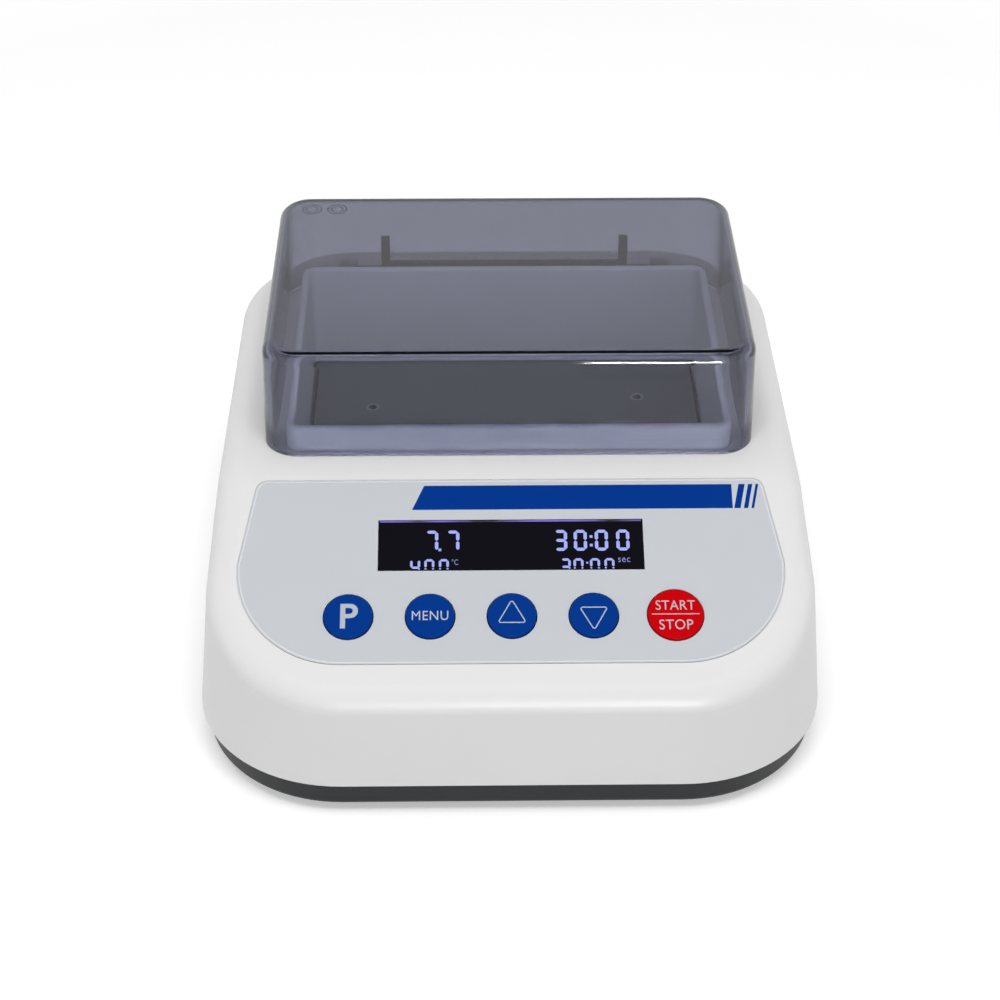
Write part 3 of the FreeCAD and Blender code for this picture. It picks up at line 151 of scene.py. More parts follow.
class Recipe:
    """A node tree that is filled one node at a time."""

    def __init__(self, tree):
        self.tree = tree

    def add(self, kind, settings=None, sockets=None, output=0):
        """Add a node: its settings first, then values or links for its sockets."""
        node = self.tree.nodes.new(kind)
        for name, setting in (settings or {}).items():
            if name == "ramp":
                self.fill_ramp(node.color_ramp, setting)
            else:
                setattr(node, name, setting)
        pairs = sockets.items() if isinstance(sockets, dict) else enumerate(sockets or [])
        for name, source in pairs:
            if isinstance(source, Value):
                self.tree.links.new(source.socket, node.inputs[name])
            elif source is not None:
                node.inputs[name].default_value = source
        return Value(self, node.outputs[output]) if len(node.outputs) else node

    @staticmethod
    def fill_ramp(ramp, stops):
        while len(ramp.elements) < len(stops):
            ramp.elements.new(0.5)
        for element, (place, colour) in zip(ramp.elements, stops):
            element.position = place
            element.color = colour

    def other(self, value, name):
        """Another output of the node that a value comes from."""
        return Value(self, value.socket.node.outputs[name])


def rgba(colour, factor=1.0):
    return (*(min(1.0, part * factor) for part in colour[:3]), 1.0)


class Finish(Recipe):
    """One procedural material, in object coordinates, ending in a single surface shader."""

    def __init__(self, name):
        self.material = bpy.data.materials.new(name)
        self.material.use_nodes = True
        super().__init__(self.material.node_tree)
        self.tree.nodes.clear()
        self.place = self.add("ShaderNodeTexCoord", output="Object")

    def noise(self, size, detail=2.0, stretch=(1.0, 1.0, 1.0), seed=0.0):
        """Noise with lumps of about one size, in metres."""
        place = self.place
        if stretch != (1.0, 1.0, 1.0) or seed:
            place = self.add("ShaderNodeMapping", None, {
                "Vector": self.place, "Location": (seed, seed, seed), "Scale": stretch})
        return self.add("ShaderNodeTexNoise", None, {
            "Vector": place, "Scale": 1.0 / size, "Detail": detail, "Roughness": 0.55})

    def blend(self, factor, low, high):
        """Mix two colours by a value."""
        node = self.tree.nodes.new("ShaderNodeMix")
        node.data_type = "RGBA"
        for socket, source in ((node.inputs[0], factor), (node.inputs[6], low), (node.inputs[7], high)):
            if isinstance(source, Value):
                self.tree.links.new(source.socket, socket)
            else:
                socket.default_value = source
        return Value(self, node.outputs[2])

    def relief(self, height, depth, strength=1.0, below=None):
        return self.add("ShaderNodeBump", None, {
            "Strength": strength, "Distance": depth, "Height": height, "Normal": below})

    def surface(self, **sockets):
        named = {name.replace("_", " "): source for name, source in sockets.items()}
        shader = self.add("ShaderNodeBsdfPrincipled", None, named)
        self.add("ShaderNodeOutputMaterial", None, {"Surface": shader})
        return self.material


def moulded(name, colour, roughness, grain, depth, mottle=0.02, **extra):
    """Moulded plastic: fine spark-eroded grain, faint colour and gloss drift."""
    finish = Finish(name)
    drift = finish.noise(0.035, 3.0)
    texture = finish.noise(grain, 3.0, seed=0.31)
    shade = finish.blend(drift, rgba(colour, 1.0 - mottle), rgba(colour, 1.0 + mottle))
    gloss = drift * 0.08 + (roughness - 0.04)
    bump = finish.relief(texture, depth, 0.6)
    return finish.surface(Base_Color=shade, Roughness=gloss, Normal=bump, **extra)


def metal(name, colour, roughness, grain, stretch=(1.0, 1.0, 1.0), depth=0.01 * MM, mottle=0.08):
    """Bare or coated metal with a drawn or rolled grain."""
    finish = Finish(name)
    lines = finish.noise(grain, 3.0, stretch)
    stain = finish.noise(0.012, 2.0, seed=0.7)
    shade = finish.blend(stain, rgba(colour, 1.0 - mottle), rgba(colour, 1.0 + mottle))
    gloss = lines * 0.14 + stain * 0.06 + (roughness - 0.1)
    bump = finish.relief(lines, depth, 0.35)
    return finish.surface(Base_Color=shade, Roughness=gloss, Metallic=1.0, Normal=bump)


def coated_plate(name, colour, box, holes, reach):
    """A dark coated metal plate, bare round its screw holes, with painted shade: black in its screw bores and
    along its edge, where the gap to the well's walls lies in shadow.
    """
    finish = Finish(name)
    low, high = box
    place = finish.add("ShaderNodeSeparateXYZ", None, [finish.place])
    across = (place - (low.x + high.x) / 2).combine("ABSOLUTE") - (high.x - low.x) / 2
    along = (finish.other(place, "Y") - (low.y + high.y) / 2).combine("ABSOLUTE") - (high.y - low.y) / 2
    # Painted shade: a band 0.8 mm wide round the plate's edge is painted black, for the shadowed gap to the well's
    # walls.
    rim = across.combine("MAXIMUM", along) > -0.8 * MM
    worn = 0.0
    painted_shade = rim
    for x, y in holes:
        distance = ((place - x) ** 2.0 + (finish.other(place, "Y") - y) ** 2.0) ** 0.5
        worn = (distance < reach) + worn
        # Painted shade: the middle of each screw hole is painted black.
        painted_shade = (distance < reach * 0.7) + painted_shade
    stain = finish.noise(0.02, 3.0)
    coat = finish.blend(stain, rgba(colour, 0.94), rgba(colour, 1.06))
    bare = finish.blend(worn, coat, (0.30, 0.30, 0.31, 1.0))
    shade = finish.blend(painted_shade, bare, (0.004, 0.004, 0.005, 1.0))
    gloss = stain * 0.08 + 0.5
    return finish.surface(Base_Color=shade, Roughness=gloss, Metallic=0.4)


def foam(name, colour):
    """Closed-cell foam: round cells cut open as pits, each pit's middle darkened by painted shade."""
    finish = Finish(name)
    cells = finish.add("ShaderNodeTexVoronoi", None, {"Vector": finish.place, "Scale": 1.0 / (1.1 * MM)})
    # Painted shade: each cell is darker towards its middle, where its pit is deepest.
    shade = finish.blend(cells, rgba(colour, 0.55), rgba(colour, 1.15))
    bump = finish.relief(cells, 0.12 * MM, 0.7)
    return finish.surface(Base_Color=shade, Roughness=0.95, Normal=bump)


def circuit_board(name, colour):
    """Solder mask over copper: slightly raised tracks and dull bare laminate between them."""
    finish = Finish(name)
    tracks = finish.add("ShaderNodeTexBrick", None, {
        "Vector": finish.place, "Scale": 55.0, "Mortar Size": 0.03, "Color1": (1, 1, 1, 1),
        "Color2": (0.6, 0.6, 0.6, 1), "Mortar": (0, 0, 0, 1)}, output="Fac")
    weave = finish.noise(0.6 * MM, 2.0)
    shade = finish.blend(tracks, rgba(colour, 1.0), rgba(colour, 1.7))
    gloss = weave * 0.15 + 0.28
    bump = finish.relief(tracks, 0.03 * MM, 0.6)
    return finish.surface(Base_Color=shade, Roughness=gloss, Normal=bump)


def printed_film(name, colour, roughness, sheen=0.25):
    """Fine-grained polyester film, printed on its back."""
    finish = Finish(name)
    grain = finish.noise(0.22 * MM, 2.0)
    drift = finish.noise(0.05, 2.0, seed=0.5)
    shade = finish.blend(drift, rgba(colour, 0.985), rgba(colour, 1.015))
    gloss = grain * 0.12 + (roughness - 0.06)
    bump = finish.relief(grain, 0.012 * MM, 0.45)
    return finish.surface(Base_Color=shade, Roughness=gloss, Normal=bump, Specular_IOR_Level=sheen)


def smoked(name, passed, wall):
    """Clear plastic tinted all through, so that it darkens with the depth of plastic that is seen, with painted
    shade darkening it further where a wall is seen edge-on.

    Its tint is given as the share of light that passes a wall of a known thickness. Lamps shine
    straight through its faces, so that what is under it is lit."""
    finish = Finish(name)
    ripple = finish.noise(0.03, 2.0)
    bump = finish.relief(ripple, 0.004 * MM, 0.1)
    gloss = ripple * 0.02 + 0.01
    # Painted shade: where a wall is seen edge-on its colour goes nearly black, on top of the tint's real
    # darkening, for the dark lines that refraction draws along the lid's rounded edges and corners.
    facing = finish.add("ShaderNodeLayerWeight", None, {"Blend": 0.5}, output=1)
    edge_on_shade = finish.add("ShaderNodeMapRange", {"interpolation_type": "SMOOTHSTEP"}, [
        facing, 0.25, 0.85, 0.0, 1.0])
    edge = finish.blend(edge_on_shade, (1.0, 1.0, 1.0, 1.0), (0.12, 0.12, 0.14, 1.0))
    shader = finish.add("ShaderNodeBsdfPrincipled", None, {
        "Base Color": edge, "Roughness": gloss, "IOR": 1.49, "Transmission Weight": 1.0,
        "Specular IOR Level": 0.3, "Normal": bump})
    clear = finish.add("ShaderNodeBsdfTransparent")
    shadow = finish.add("ShaderNodeLightPath", output="Is Shadow Ray")
    mix = finish.add("ShaderNodeMixShader", None, [shadow, shader, clear])
    losses = [-math.log(part) / wall for part in passed]
    density = 2.0 * max(losses)
    tint = finish.add("ShaderNodeVolumeAbsorption", None, {
        "Color": (*(1.0 - loss / density for loss in losses), 1.0), "Density": density})
    finish.add("ShaderNodeOutputMaterial", None, {"Surface": mix, "Volume": tint})
    return finish.material


def lit(name, colour, strength):
    """A lit segment, its brightness drifting a little from place to place."""
    finish = Finish(name)
    cloud = finish.noise(1.4 * MM, 1.0)
    shade = finish.blend(cloud, rgba(colour, 0.88), rgba(colour, 1.12))
    return finish.surface(Base_Color=(0.01, 0.01, 0.02, 1.0), Roughness=0.4, Emission_Color=shade,
                          Emission_Strength=strength)


def glow_line(name, colour, strength):
    """Light that leaks past the edge of the display, stronger in some places."""
    finish = Finish(name)
    cloud = finish.noise(14 * MM, 1.5, seed=0.2)
    ramp = finish.add("ShaderNodeValToRGB", {"ramp": [
        (0.36, (0.0, 0.0, 0.01, 1.0)), (0.50, rgba(colour, 0.7)), (0.62, rgba(colour, 1.0))]}, [cloud])
    return finish.surface(Base_Color=(0.01, 0.01, 0.02, 1.0), Roughness=0.5, Emission_Color=ramp,
                          Emission_Strength=strength)


def dress(material, *nodes):
    """Give CAD nodes a finish."""
    for name in nodes:
        for holder in frame["nodes"][name].material_slots:
            holder.material = material


def new_piece(name, mesh, material, body):
    piece = bpy.data.objects.new(name, mesh)
    bpy.context.scene.collection.objects.link(piece)
    if material is not None:
        mesh.materials.clear()
        mesh.materials.append(material)
    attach(piece, body)
    return piece


def rounded(corners, steps=10):
    """A closed outline through corners (x, y, radius), as a list of points."""
    points = []
    for index, (x, y, radius) in enumerate(corners):
        corner = Vector((x, y))
        before = Vector(corners[index - 1][:2])
        after = Vector(corners[(index + 1) % len(corners)][:2])
        if not radius:
            points.append((x, y))
            continue
        back = (before - corner).normalized()
        ahead = (after - corner).normalized()
        half = back.angle(ahead) / 2
        centre = corner + (back + ahead).normalized() * (radius / math.sin(half))
        first = corner + back * (radius / math.tan(half))
        last = corner + ahead * (radius / math.tan(half))
        start = math.atan2(first.y - centre.y, first.x - centre.x)
        turn = math.atan2(last.y - centre.y, last.x - centre.x) - start
        turn = (turn + math.pi) % (2 * math.pi) - math.pi
        for step in range(steps + 1):
            angle = start + turn * step / steps
            points.append((centre.x + radius * math.cos(angle), centre.y + radius * math.sin(angle)))
    return points


def ellipse(wide, tall, steps):
    """A closed outline round the origin, from its two radii."""
    angles = [2 * math.pi * step / steps for step in range(steps)]
    return [(wide * math.cos(angle), tall * math.sin(angle)) for angle in angles]


def path_mesh(paths, closed):
    """Edges through lists of points, for a printed line to follow."""
    mesh = bpy.data.meshes.new("path")
    points = []
    edges = []
    for path in paths:
        first = len(points)
        points += [(x, y, 0.0) for x, y in path]
        edges += [(first + step, first + step + 1) for step in range(len(path) - 1)]
        if closed:
            edges.append((first + len(path) - 1, first))
    mesh.from_pydata(points, edges, [])
    return mesh


def plate_mesh(outlines, thickness):
    """Thin closed plates from flat outlines."""
    build = bmesh.new()
    for points in outlines:
        bottom = [build.verts.new((x, y, 0.0)) for x, y in points]
        top = [build.verts.new((x, y, thickness)) for x, y in points]
        build.faces.new(list(reversed(bottom)))
        build.faces.new(top)
        for index in range(len(points)):
            after = (index + 1) % len(points)
            build.faces.new((bottom[index], bottom[after], top[after], top[index]))
    bmesh.ops.recalc_face_normals(build, faces=build.faces)
    mesh = bpy.data.meshes.new("plate")
    build.to_mesh(mesh)
    build.free()
    return mesh


class Growth(Recipe):
    """A geometry node tree with named inputs, ending in Realize Instances and Set Material."""

    def __init__(self, name, inputs):
        tree = bpy.data.node_groups.new(name, "GeometryNodeTree")
        super().__init__(tree)
        tree.interface.new_socket("Geometry", in_out="INPUT", socket_type="NodeSocketGeometry")
        for label, (kind, default) in inputs.items():
            socket = tree.interface.new_socket(label, in_out="INPUT", socket_type=kind)
            if default is not None:
                socket.default_value = default
        tree.interface.new_socket("Geometry", in_out="OUTPUT", socket_type="NodeSocketGeometry")
        self.entry = self.add("NodeGroupInput", output=0)

    def given(self, name):
        return self.other(self.entry, name)

    def end(self, geometry):
        whole = self.add("GeometryNodeRealizeInstances", None, [geometry])
        painted = self.add("GeometryNodeSetMaterial", None, {
            "Geometry": whole, "Material": self.given("Material")})
        self.add("NodeGroupOutput", None, [painted])
        return self.tree


def grow(tree, seed_mesh, **inputs):
    """Run a tree on a mesh and return the result as a plain mesh."""
    carrier = bpy.data.objects.new("carrier", seed_mesh)
    bpy.context.scene.collection.objects.link(carrier)
    modifier = carrier.modifiers.new("Growth", "NODES")
    modifier.node_group = tree
    for item in tree.interface.items_tree:
        wanted = item.name.replace(" ", "_").lower()
        if item.in_out == "INPUT" and wanted in inputs:
            modifier[item.identifier] = inputs[wanted]
    bpy.context.view_layer.update()
    state = bpy.context.evaluated_depsgraph_get()
    mesh = bpy.data.meshes.new_from_object(carrier.evaluated_get(state))
    carrier.modifiers.remove(modifier)
    bpy.data.objects.remove(carrier)
    return mesh


LENGTH = "NodeSocketFloat"


def printed_line_tree():
    """A flat strip along each path: a width, a depth, and ends that may come to a point."""
    growth = Growth("Printed line", {
        "Width": (LENGTH, 0.5 * MM), "Depth": (LENGTH, 0.03 * MM), "End Width": (LENGTH, 1.0),
        "Material": ("NodeSocketMaterial", None)})
    curve = growth.add("GeometryNodeMeshToCurve", None, [growth.given("Geometry")])
    level = growth.add("GeometryNodeSetCurveNormal", {"mode": "Z_UP"}, [curve])
    ends = growth.add("GeometryNodeCurveEndpointSelection")
    radius = 1.0 - ends * (1.0 - growth.given("End Width"))
    shaped = growth.add("GeometryNodeSetCurveRadius", None, {"Curve": level, "Radius": radius})
    profile = growth.add("GeometryNodeCurvePrimitiveQuadrilateral", None, {
        "Width": growth.given("Width"), "Height": growth.given("Depth")})
    strip = growth.add("GeometryNodeCurveToMesh", None, {
        "Curve": shaped, "Profile Curve": profile, "Fill Caps": True,
        "Scale": growth.add("GeometryNodeInputRadius")})
    return growth.end(strip)


def screw_tree():
    """A pan-head screw with a cross recess and a thread, at each point, along its facing."""
    growth = Growth("Screws", {
        "Head Radius": (LENGTH, 2.8 * MM), "Head Height": (LENGTH, 2.0 * MM),
        "Recess Width": (LENGTH, 0.8 * MM), "Shank Radius": (LENGTH, 1.2 * MM),
        "Shank Length": (LENGTH, 10 * MM), "Thread Pitch": (LENGTH, 1.0 * MM),
        "Material": ("NodeSocketMaterial", None)})
    head_radius = growth.given("Head Radius")
    head_height = growth.given("Head Height")
    shank_radius = growth.given("Shank Radius")
    shank_length = growth.given("Shank Length")
    pitch = growth.given("Thread Pitch")

    def column(radius, top_radius, depth, height, sides=32):
        cone = growth.add("GeometryNodeMeshCone", None, {
            "Vertices": sides, "Radius Top": top_radius, "Radius Bottom": radius, "Depth": depth})
        offset = growth.add("ShaderNodeCombineXYZ", None, {"Z": height})
        return growth.add("GeometryNodeTransform", None, {"Geometry": cone, "Translation": offset})

    rim = column(head_radius, head_radius, head_height * 0.5, 0.0)
    dome = column(head_radius, head_radius * 0.72, head_height * 0.5, head_height * 0.499)
    arms = []
    for wide, deep in ((3.4, 1.0), (1.0, 3.4)):
        size = growth.add("ShaderNodeCombineXYZ", None, {
            "X": growth.given("Recess Width") * wide, "Y": growth.given("Recess Width") * deep,
            "Z": head_height})
        cube = growth.add("GeometryNodeMeshCube", None, {"Size": size})
        offset = growth.add("ShaderNodeCombineXYZ", None, {"Z": head_height * 1.05})
        arms.append(growth.add("GeometryNodeTransform", None, {"Geometry": cube, "Translation": offset}))
    joined = growth.tree.nodes.new("GeometryNodeMeshBoolean")
    joined.operation = "UNION"
    for part in (rim, dome):
        growth.tree.links.new(part.socket, joined.inputs[1])
    carved = growth.tree.nodes.new("GeometryNodeMeshBoolean")
    carved.operation = "DIFFERENCE"
    growth.tree.links.new(joined.outputs[0], carved.inputs[0])
    for part in arms:
        growth.tree.links.new(part.socket, carved.inputs[1])
    shank = column(shank_radius * 0.55, shank_radius * 0.86, shank_length, shank_length * -1.0, 20)
    turns = shank_length / pitch * 0.8
    spiral = growth.add("GeometryNodeCurveSpiral", None, {
        "Resolution": 12, "Rotations": turns, "Start Radius": shank_radius * 0.6,
        "End Radius": shank_radius * 0.86, "Height": shank_length * 0.8})
    low = growth.add("ShaderNodeCombineXYZ", None, {"Z": shank_length * -0.95})
    lowered = growth.add("GeometryNodeTransform", None, {"Geometry": spiral, "Translation": low})
    ridge = growth.add("GeometryNodeCurvePrimitiveCircle", {"mode": "RADIUS"}, {
        "Resolution": 3, "Radius": pitch * 0.22})
    thread = growth.add("GeometryNodeCurveToMesh", None, {
        "Curve": lowered, "Profile Curve": ridge, "Fill Caps": True})
    whole = growth.tree.nodes.new("GeometryNodeJoinGeometry")
    for part in (Value(growth, carved.outputs[0]), shank, thread):
        growth.tree.links.new(part.socket, whole.inputs[0])
    facing = growth.add("GeometryNodeInputNamedAttribute", {"data_type": "FLOAT_VECTOR"}, {
        "Name": "facing"})
    turn = growth.add("FunctionNodeAlignRotationToVector", {"axis": "Z"}, {"Vector": facing})
    placed = growth.add("GeometryNodeInstanceOnPoints", None, {
        "Points": growth.given("Geometry"), "Instance": Value(growth, whole.outputs[0]), "Rotation": turn})
    return growth.end(placed)


def points_mesh(places, facing):
    """Loose points that share one facing, for screws to stand on."""
    mesh = bpy.data.meshes.new("points")
    mesh.from_pydata([tuple(place) for place in places], [], [])
    attribute = mesh.attributes.new("facing", "FLOAT_VECTOR", "POINT")
    for item in attribute.data:
        item.vector = facing
    return mesh


def lettering(text, height, place, depth, weight=0.0, spread=1.0, width=None):
    """Letters as a thin solid mesh, centred, with a given capital height."""
    curve = bpy.data.curves.new("lettering", "FONT")
    curve.body = text
    curve.size = 1.0
    curve.offset = weight
    curve.extrude = 0.5
    curve.resolution_u = 5
    curve.space_character = spread
    carrier = bpy.data.objects.new("lettering", curve)
    bpy.context.scene.collection.objects.link(carrier)
    bpy.context.view_layer.update()
    state = bpy.context.evaluated_depsgraph_get()
    mesh = bpy.data.meshes.new_from_object(carrier.evaluated_get(state))
    bpy.data.objects.remove(carrier)
    low = Vector([min(vertex.co[axis] for vertex in mesh.vertices) for axis in range(3)])
    high = Vector([max(vertex.co[axis] for vertex in mesh.vertices) for axis in range(3)])
    tall = height / (high.y - low.y)
    wide = width / (high.x - low.x) if width else tall
    centre = (low + high) / 2
    mesh.transform(Matrix.Diagonal((wide, tall, depth, 1.0)) @ Matrix.Translation(-centre))
    mesh.transform(place)
    build = bmesh.new()
    build.from_mesh(mesh)
    bmesh.ops.remove_doubles(build, verts=build.verts, dist=1e-7)
    build.to_mesh(mesh)
    build.free()
    return mesh


def merged(meshes):
    """One mesh from several."""
    build = bmesh.new()
    for mesh in meshes:
        build.from_mesh(mesh)
    whole = bpy.data.meshes.new("merged")
    build.to_mesh(whole)
    build.free()
    return whole


def colour_property(name, description, default):
    return bpy.props.FloatVectorProperty(
        name=name, description=description, subtype="COLOR", size=3, default=default, min=0.0, max=1.0)


def length_property(name, description, default):
    return bpy.props.FloatProperty(
        name=name, description=description, default=default, min=0.0, unit="LENGTH", precision=5)


def share_property(name, description, default, high=1.0):
    return bpy.props.FloatProperty(name=name, description=description, default=default, min=0.0, max=high)


class DRYBATH_PG_case(bpy.types.PropertyGroup):
    """Colours and textures of the case."""

    shell: colour_property("Shell", "Colour of the white upper shell", (0.78, 0.77, 0.772))
    shell_gloss: share_property("Shell roughness", "Roughness of the upper shell", 0.42)
    base: colour_property("Base", "Colour of the base tray", (0.012, 0.013, 0.015))
    rubber: colour_property("Rubber", "Colour of the feet", (0.025, 0.025, 0.026))
    grain: length_property("Grain", "Size of the moulded grain", 0.35 * MM)
    well: colour_property("Well", "Colour of the well frame", (0.86, 0.87, 0.89))
    plate: colour_property("Plate", "Colour of the heating plate", (0.13, 0.14, 0.145))


class DRYBATH_PG_panel(bpy.types.PropertyGroup):
    """Colours and line widths of the control sheet and its keys."""

    sheet: colour_property("Sheet", "Colour of the control sheet", (0.56, 0.585, 0.62))
    edge: colour_property("Edge line", "Colour of the pale line round the sheet", (0.72, 0.74, 0.76))
    bar: colour_property("Bar", "Colour of the printed bar and its stripes", (0.001, 0.037, 0.26))
    key: colour_property("Keys", "Colour of the four plain keys", (0.001, 0.037, 0.25))
    start: colour_property("Start key", "Colour of the start and stop key", (0.56, 0.0005, 0.003))
    legend: colour_property("Legends", "Colour of the symbols on the keys", (0.46, 0.50, 0.57))
    stroke: length_property("Stroke", "Width of the thin strokes on the keys", 0.36 * MM)
    edge_width: length_property("Edge width", "Width of the line round the sheet", 0.45 * MM)
    print_depth: length_property("Print depth", "Thickness of the printed pieces", 0.03 * MM)


class DRYBATH_PG_display(bpy.types.PropertyGroup):
    """The lit display."""

    glass: colour_property("Window", "Colour of the display window", (0.005, 0.005, 0.008))
    digit: colour_property("Digits", "Colour of the lit digits", (0.36, 0.42, 1.0))
    leak: colour_property(
        "Light leak", "Colour of the light along the window's upper edge", (0.20, 0.14, 0.75))
    strength: share_property("Strength", "Brightness of the digits", 1.0, 10.0)
    large: length_property("Large digits", "Height of the upper row", 7.05 * MM)
    small: length_property("Small digits", "Height of the lower row", 5.6 * MM)


class DRYBATH_PG_lid(bpy.types.PropertyGroup):
    """The smoked lid and its hinge."""

    tint: colour_property("Tint", "Share of light that passes one wall of the lid", (0.41, 0.42, 0.49))
    wall: length_property("Wall", "Thickness of the lid's wall", 2.2 * MM)
    pin: colour_property("Pin", "Colour of the blackened hinge pin", (0.03, 0.03, 0.032))
    hinge: colour_property("Hinge", "Colour of the hinge bracket", (0.02, 0.02, 0.021))


class DRYBATH_PG_stage(bpy.types.PropertyGroup):
    """Camera, lamps and floor."""

    lens: bpy.props.FloatProperty(name="Lens", description="Focal length", default=77.9, unit="CAMERA")
    side_power: bpy.props.FloatProperty(
        name="Side lamps", description="Power of each side lamp", default=1.0, unit="POWER")
    front_power: bpy.props.FloatProperty(
        name="Front lamp", description="Power of the lamp above the front", default=14.0, unit="POWER")
    glint_power: bpy.props.FloatProperty(
        name="Low lamp", description="Power of the low lamp that only draws the glints on the lid",
        default=12.0, unit="POWER")
    sky: share_property("Sky", "Strength of the even light from all sides", 0.41, 5.0)
    dark_top: share_property("Dark ceiling", "How much darker the ceiling looks in reflections", 0.9)
    floor: colour_property("Floor", "Colour of the floor", (0.74, 0.74, 0.74))


class DryBathOperator(bpy.types.Operator):
    """Shared settings of the operators below."""

    bl_options = {"REGISTER", "UNDO"}


class DRYBATH_OT_case(DryBathOperator):
    """Finish the shell, base tray, feet and well"""

    bl_idname = "drybath.case"
    bl_label = "Case and well"

    def execute(self, context):
        case = context.scene.drybath_case
        shell = moulded("Case plastic", case.shell, case.shell_gloss, case.grain, 0.02 * MM)
        dress(shell, "upper_shell")
        base = moulded("Base plastic", case.base, 0.5, case.grain, 0.04 * MM, 0.06, Specular_IOR_Level=0.25)
        dress(base, "base_tray")
        rubber = moulded("Foot rubber", case.rubber, 0.8, 0.8 * MM, 0.05 * MM, 0.15)
        dress(rubber, "foot_front_left", "foot_front_right", "foot_rear_left", "foot_rear_right")
        well = moulded("Well plastic", case.well, 0.5, 2 * MM, 0.002 * MM)
        dress(well, "well_frame")
        plate = coated_plate("Coated plate", case.plate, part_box("heating_plate"), BLOCK_SCREWS, 2.1 * MM)
        dress(plate, "heating_plate")
        return {"FINISHED"}


class DRYBATH_OT_inside(DryBathOperator):
    """Finish the parts inside the case and on its rear wall"""

    bl_idname = "drybath.inside"
    bl_label = "Inside and rear parts"

    def execute(self, context):
        black = moulded("Black plastic", (0.022, 0.022, 0.024), 0.45, 0.4 * MM, 0.02 * MM, 0.1)
        dress(black, "fan_frame", "fan_rotor", "power_inlet", "switch_housing")
        gloss = moulded("Rocker plastic", (0.02, 0.02, 0.021), 0.25, 2 * MM, 0.008 * MM, 0.1)
        dress(gloss, "power_rocker")
        contact = metal("Nickel contact", (0.72, 0.70, 0.62), 0.25, 0.3 * MM)
        dress(contact, "inlet_contacts")
        sink = metal("Extruded aluminium", (0.72, 0.73, 0.74), 0.38, 0.2 * MM, (1.0, 0.02, 1.0))
        dress(sink, "heat_sink")
        ceramic = moulded("Module ceramic", (0.82, 0.82, 0.80), 0.6, 0.4 * MM, 0.02 * MM)
        dress(ceramic, "thermoelectric_left", "thermoelectric_right")
        dress(foam("Grey foam", (0.22, 0.22, 0.235)), "insulation_sheet", "insulation_jacket")
        dress(circuit_board("Circuit board", (0.012, 0.10, 0.04)), "power_board", "control_board")
        component = moulded("Component", (0.04, 0.04, 0.045), 0.5, 0.3 * MM, 0.02 * MM, 0.15)
        dress(component, "power_parts", "display_module", "switch_program", "switch_menu", "switch_up",
              "switch_down", "switch_start_stop")
        steel = metal("Zinc-plated steel", (0.60, 0.61, 0.62), 0.32, 0.15 * MM)
        dress(steel, "temperature_sensor", "frame_screws", "sink_screws", "power_board_screws",
              "control_board_screws", "base_screws", "fan_screws")

        ink = printed_film("White print", (0.62, 0.62, 0.62), 0.45)
        depth = context.scene.drybath_panel.print_depth
        lean = Matrix.Rotation(REAR_LEAN + ROCKER_TILT - math.pi / 2, 4, "X")
        face = Matrix.Translation(JOINTS["power_switch"]["pos_m"]) @ lean
        stroke = [(0.0, -1.5 * MM), (0.0, 1.5 * MM)]
        ring = ellipse(1.2 * MM, 1.4 * MM, 32)
        marks = []
        for path, closed, side in ((stroke, False, -1), (ring, True, 1)):
            mesh = grow(printed_line_tree(), path_mesh([path], closed), material=ink,
                        width=0.45 * MM, depth=depth)
            seat = Matrix.Translation((0.0, side * ROCKER_HALF / 2, ROCKER_FACE + depth / 4))
            mesh.transform(face @ seat @ Matrix.Rotation(side * ROCKER_SLOPE, 4, "X"))
            marks.append(mesh)
        new_piece("rocker_marks", merged(marks), ink, "rocker")
        return {"FINISHED"}


class DRYBATH_OT_screws(DryBathOperator):
    """Cross-recess screws in the base tray and in the fan grille"""

    bl_idname = "drybath.screws"
    bl_label = "Screws"

    def execute(self, context):
        steel = bpy.data.materials["Zinc-plated steel"]
        tree = screw_tree()
        head_height = 2.0 * MM
        low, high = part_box("base_screws")
        reach = 2.8 * MM
        places = [(x, y, low.z + head_height) for x in (low.x + reach, high.x - reach)
                  for y in (low.y + reach, high.y - reach)]
        mesh = grow(tree, points_mesh(places, (0.0, 0.0, -1.0)), material=steel,
                    shank_length=high.z - low.z - 1.2 * head_height)
        screws = new_piece("tray_screws", mesh, steel, "case")
        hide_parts("base_screws")

        low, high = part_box("fan_screws")
        outward = Vector((0.0, math.cos(REAR_LEAN), math.sin(REAR_LEAN)))
        centre = (low + high) / 2
        spread = 20 * MM
        whole_length = 11.5 * MM
        down = Vector((0.0, math.sin(REAR_LEAN), -math.cos(REAR_LEAN)))
        seat = centre + outward * ((whole_length - head_height) / 2)
        places = [seat + Vector((sx * spread, 0.0, 0.0)) + down * (sy * spread)
                  for sx in (-1, 1) for sy in (-1, 1)]
        mesh = grow(tree, points_mesh(places, outward), material=steel, head_radius=3.4 * MM,
                    shank_radius=1.9 * MM, shank_length=11 * MM, recess_width=1.0 * MM)
        screws = new_piece("grille_screws", mesh, steel, "case")
        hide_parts("fan_screws")
        return {"FINISHED"}


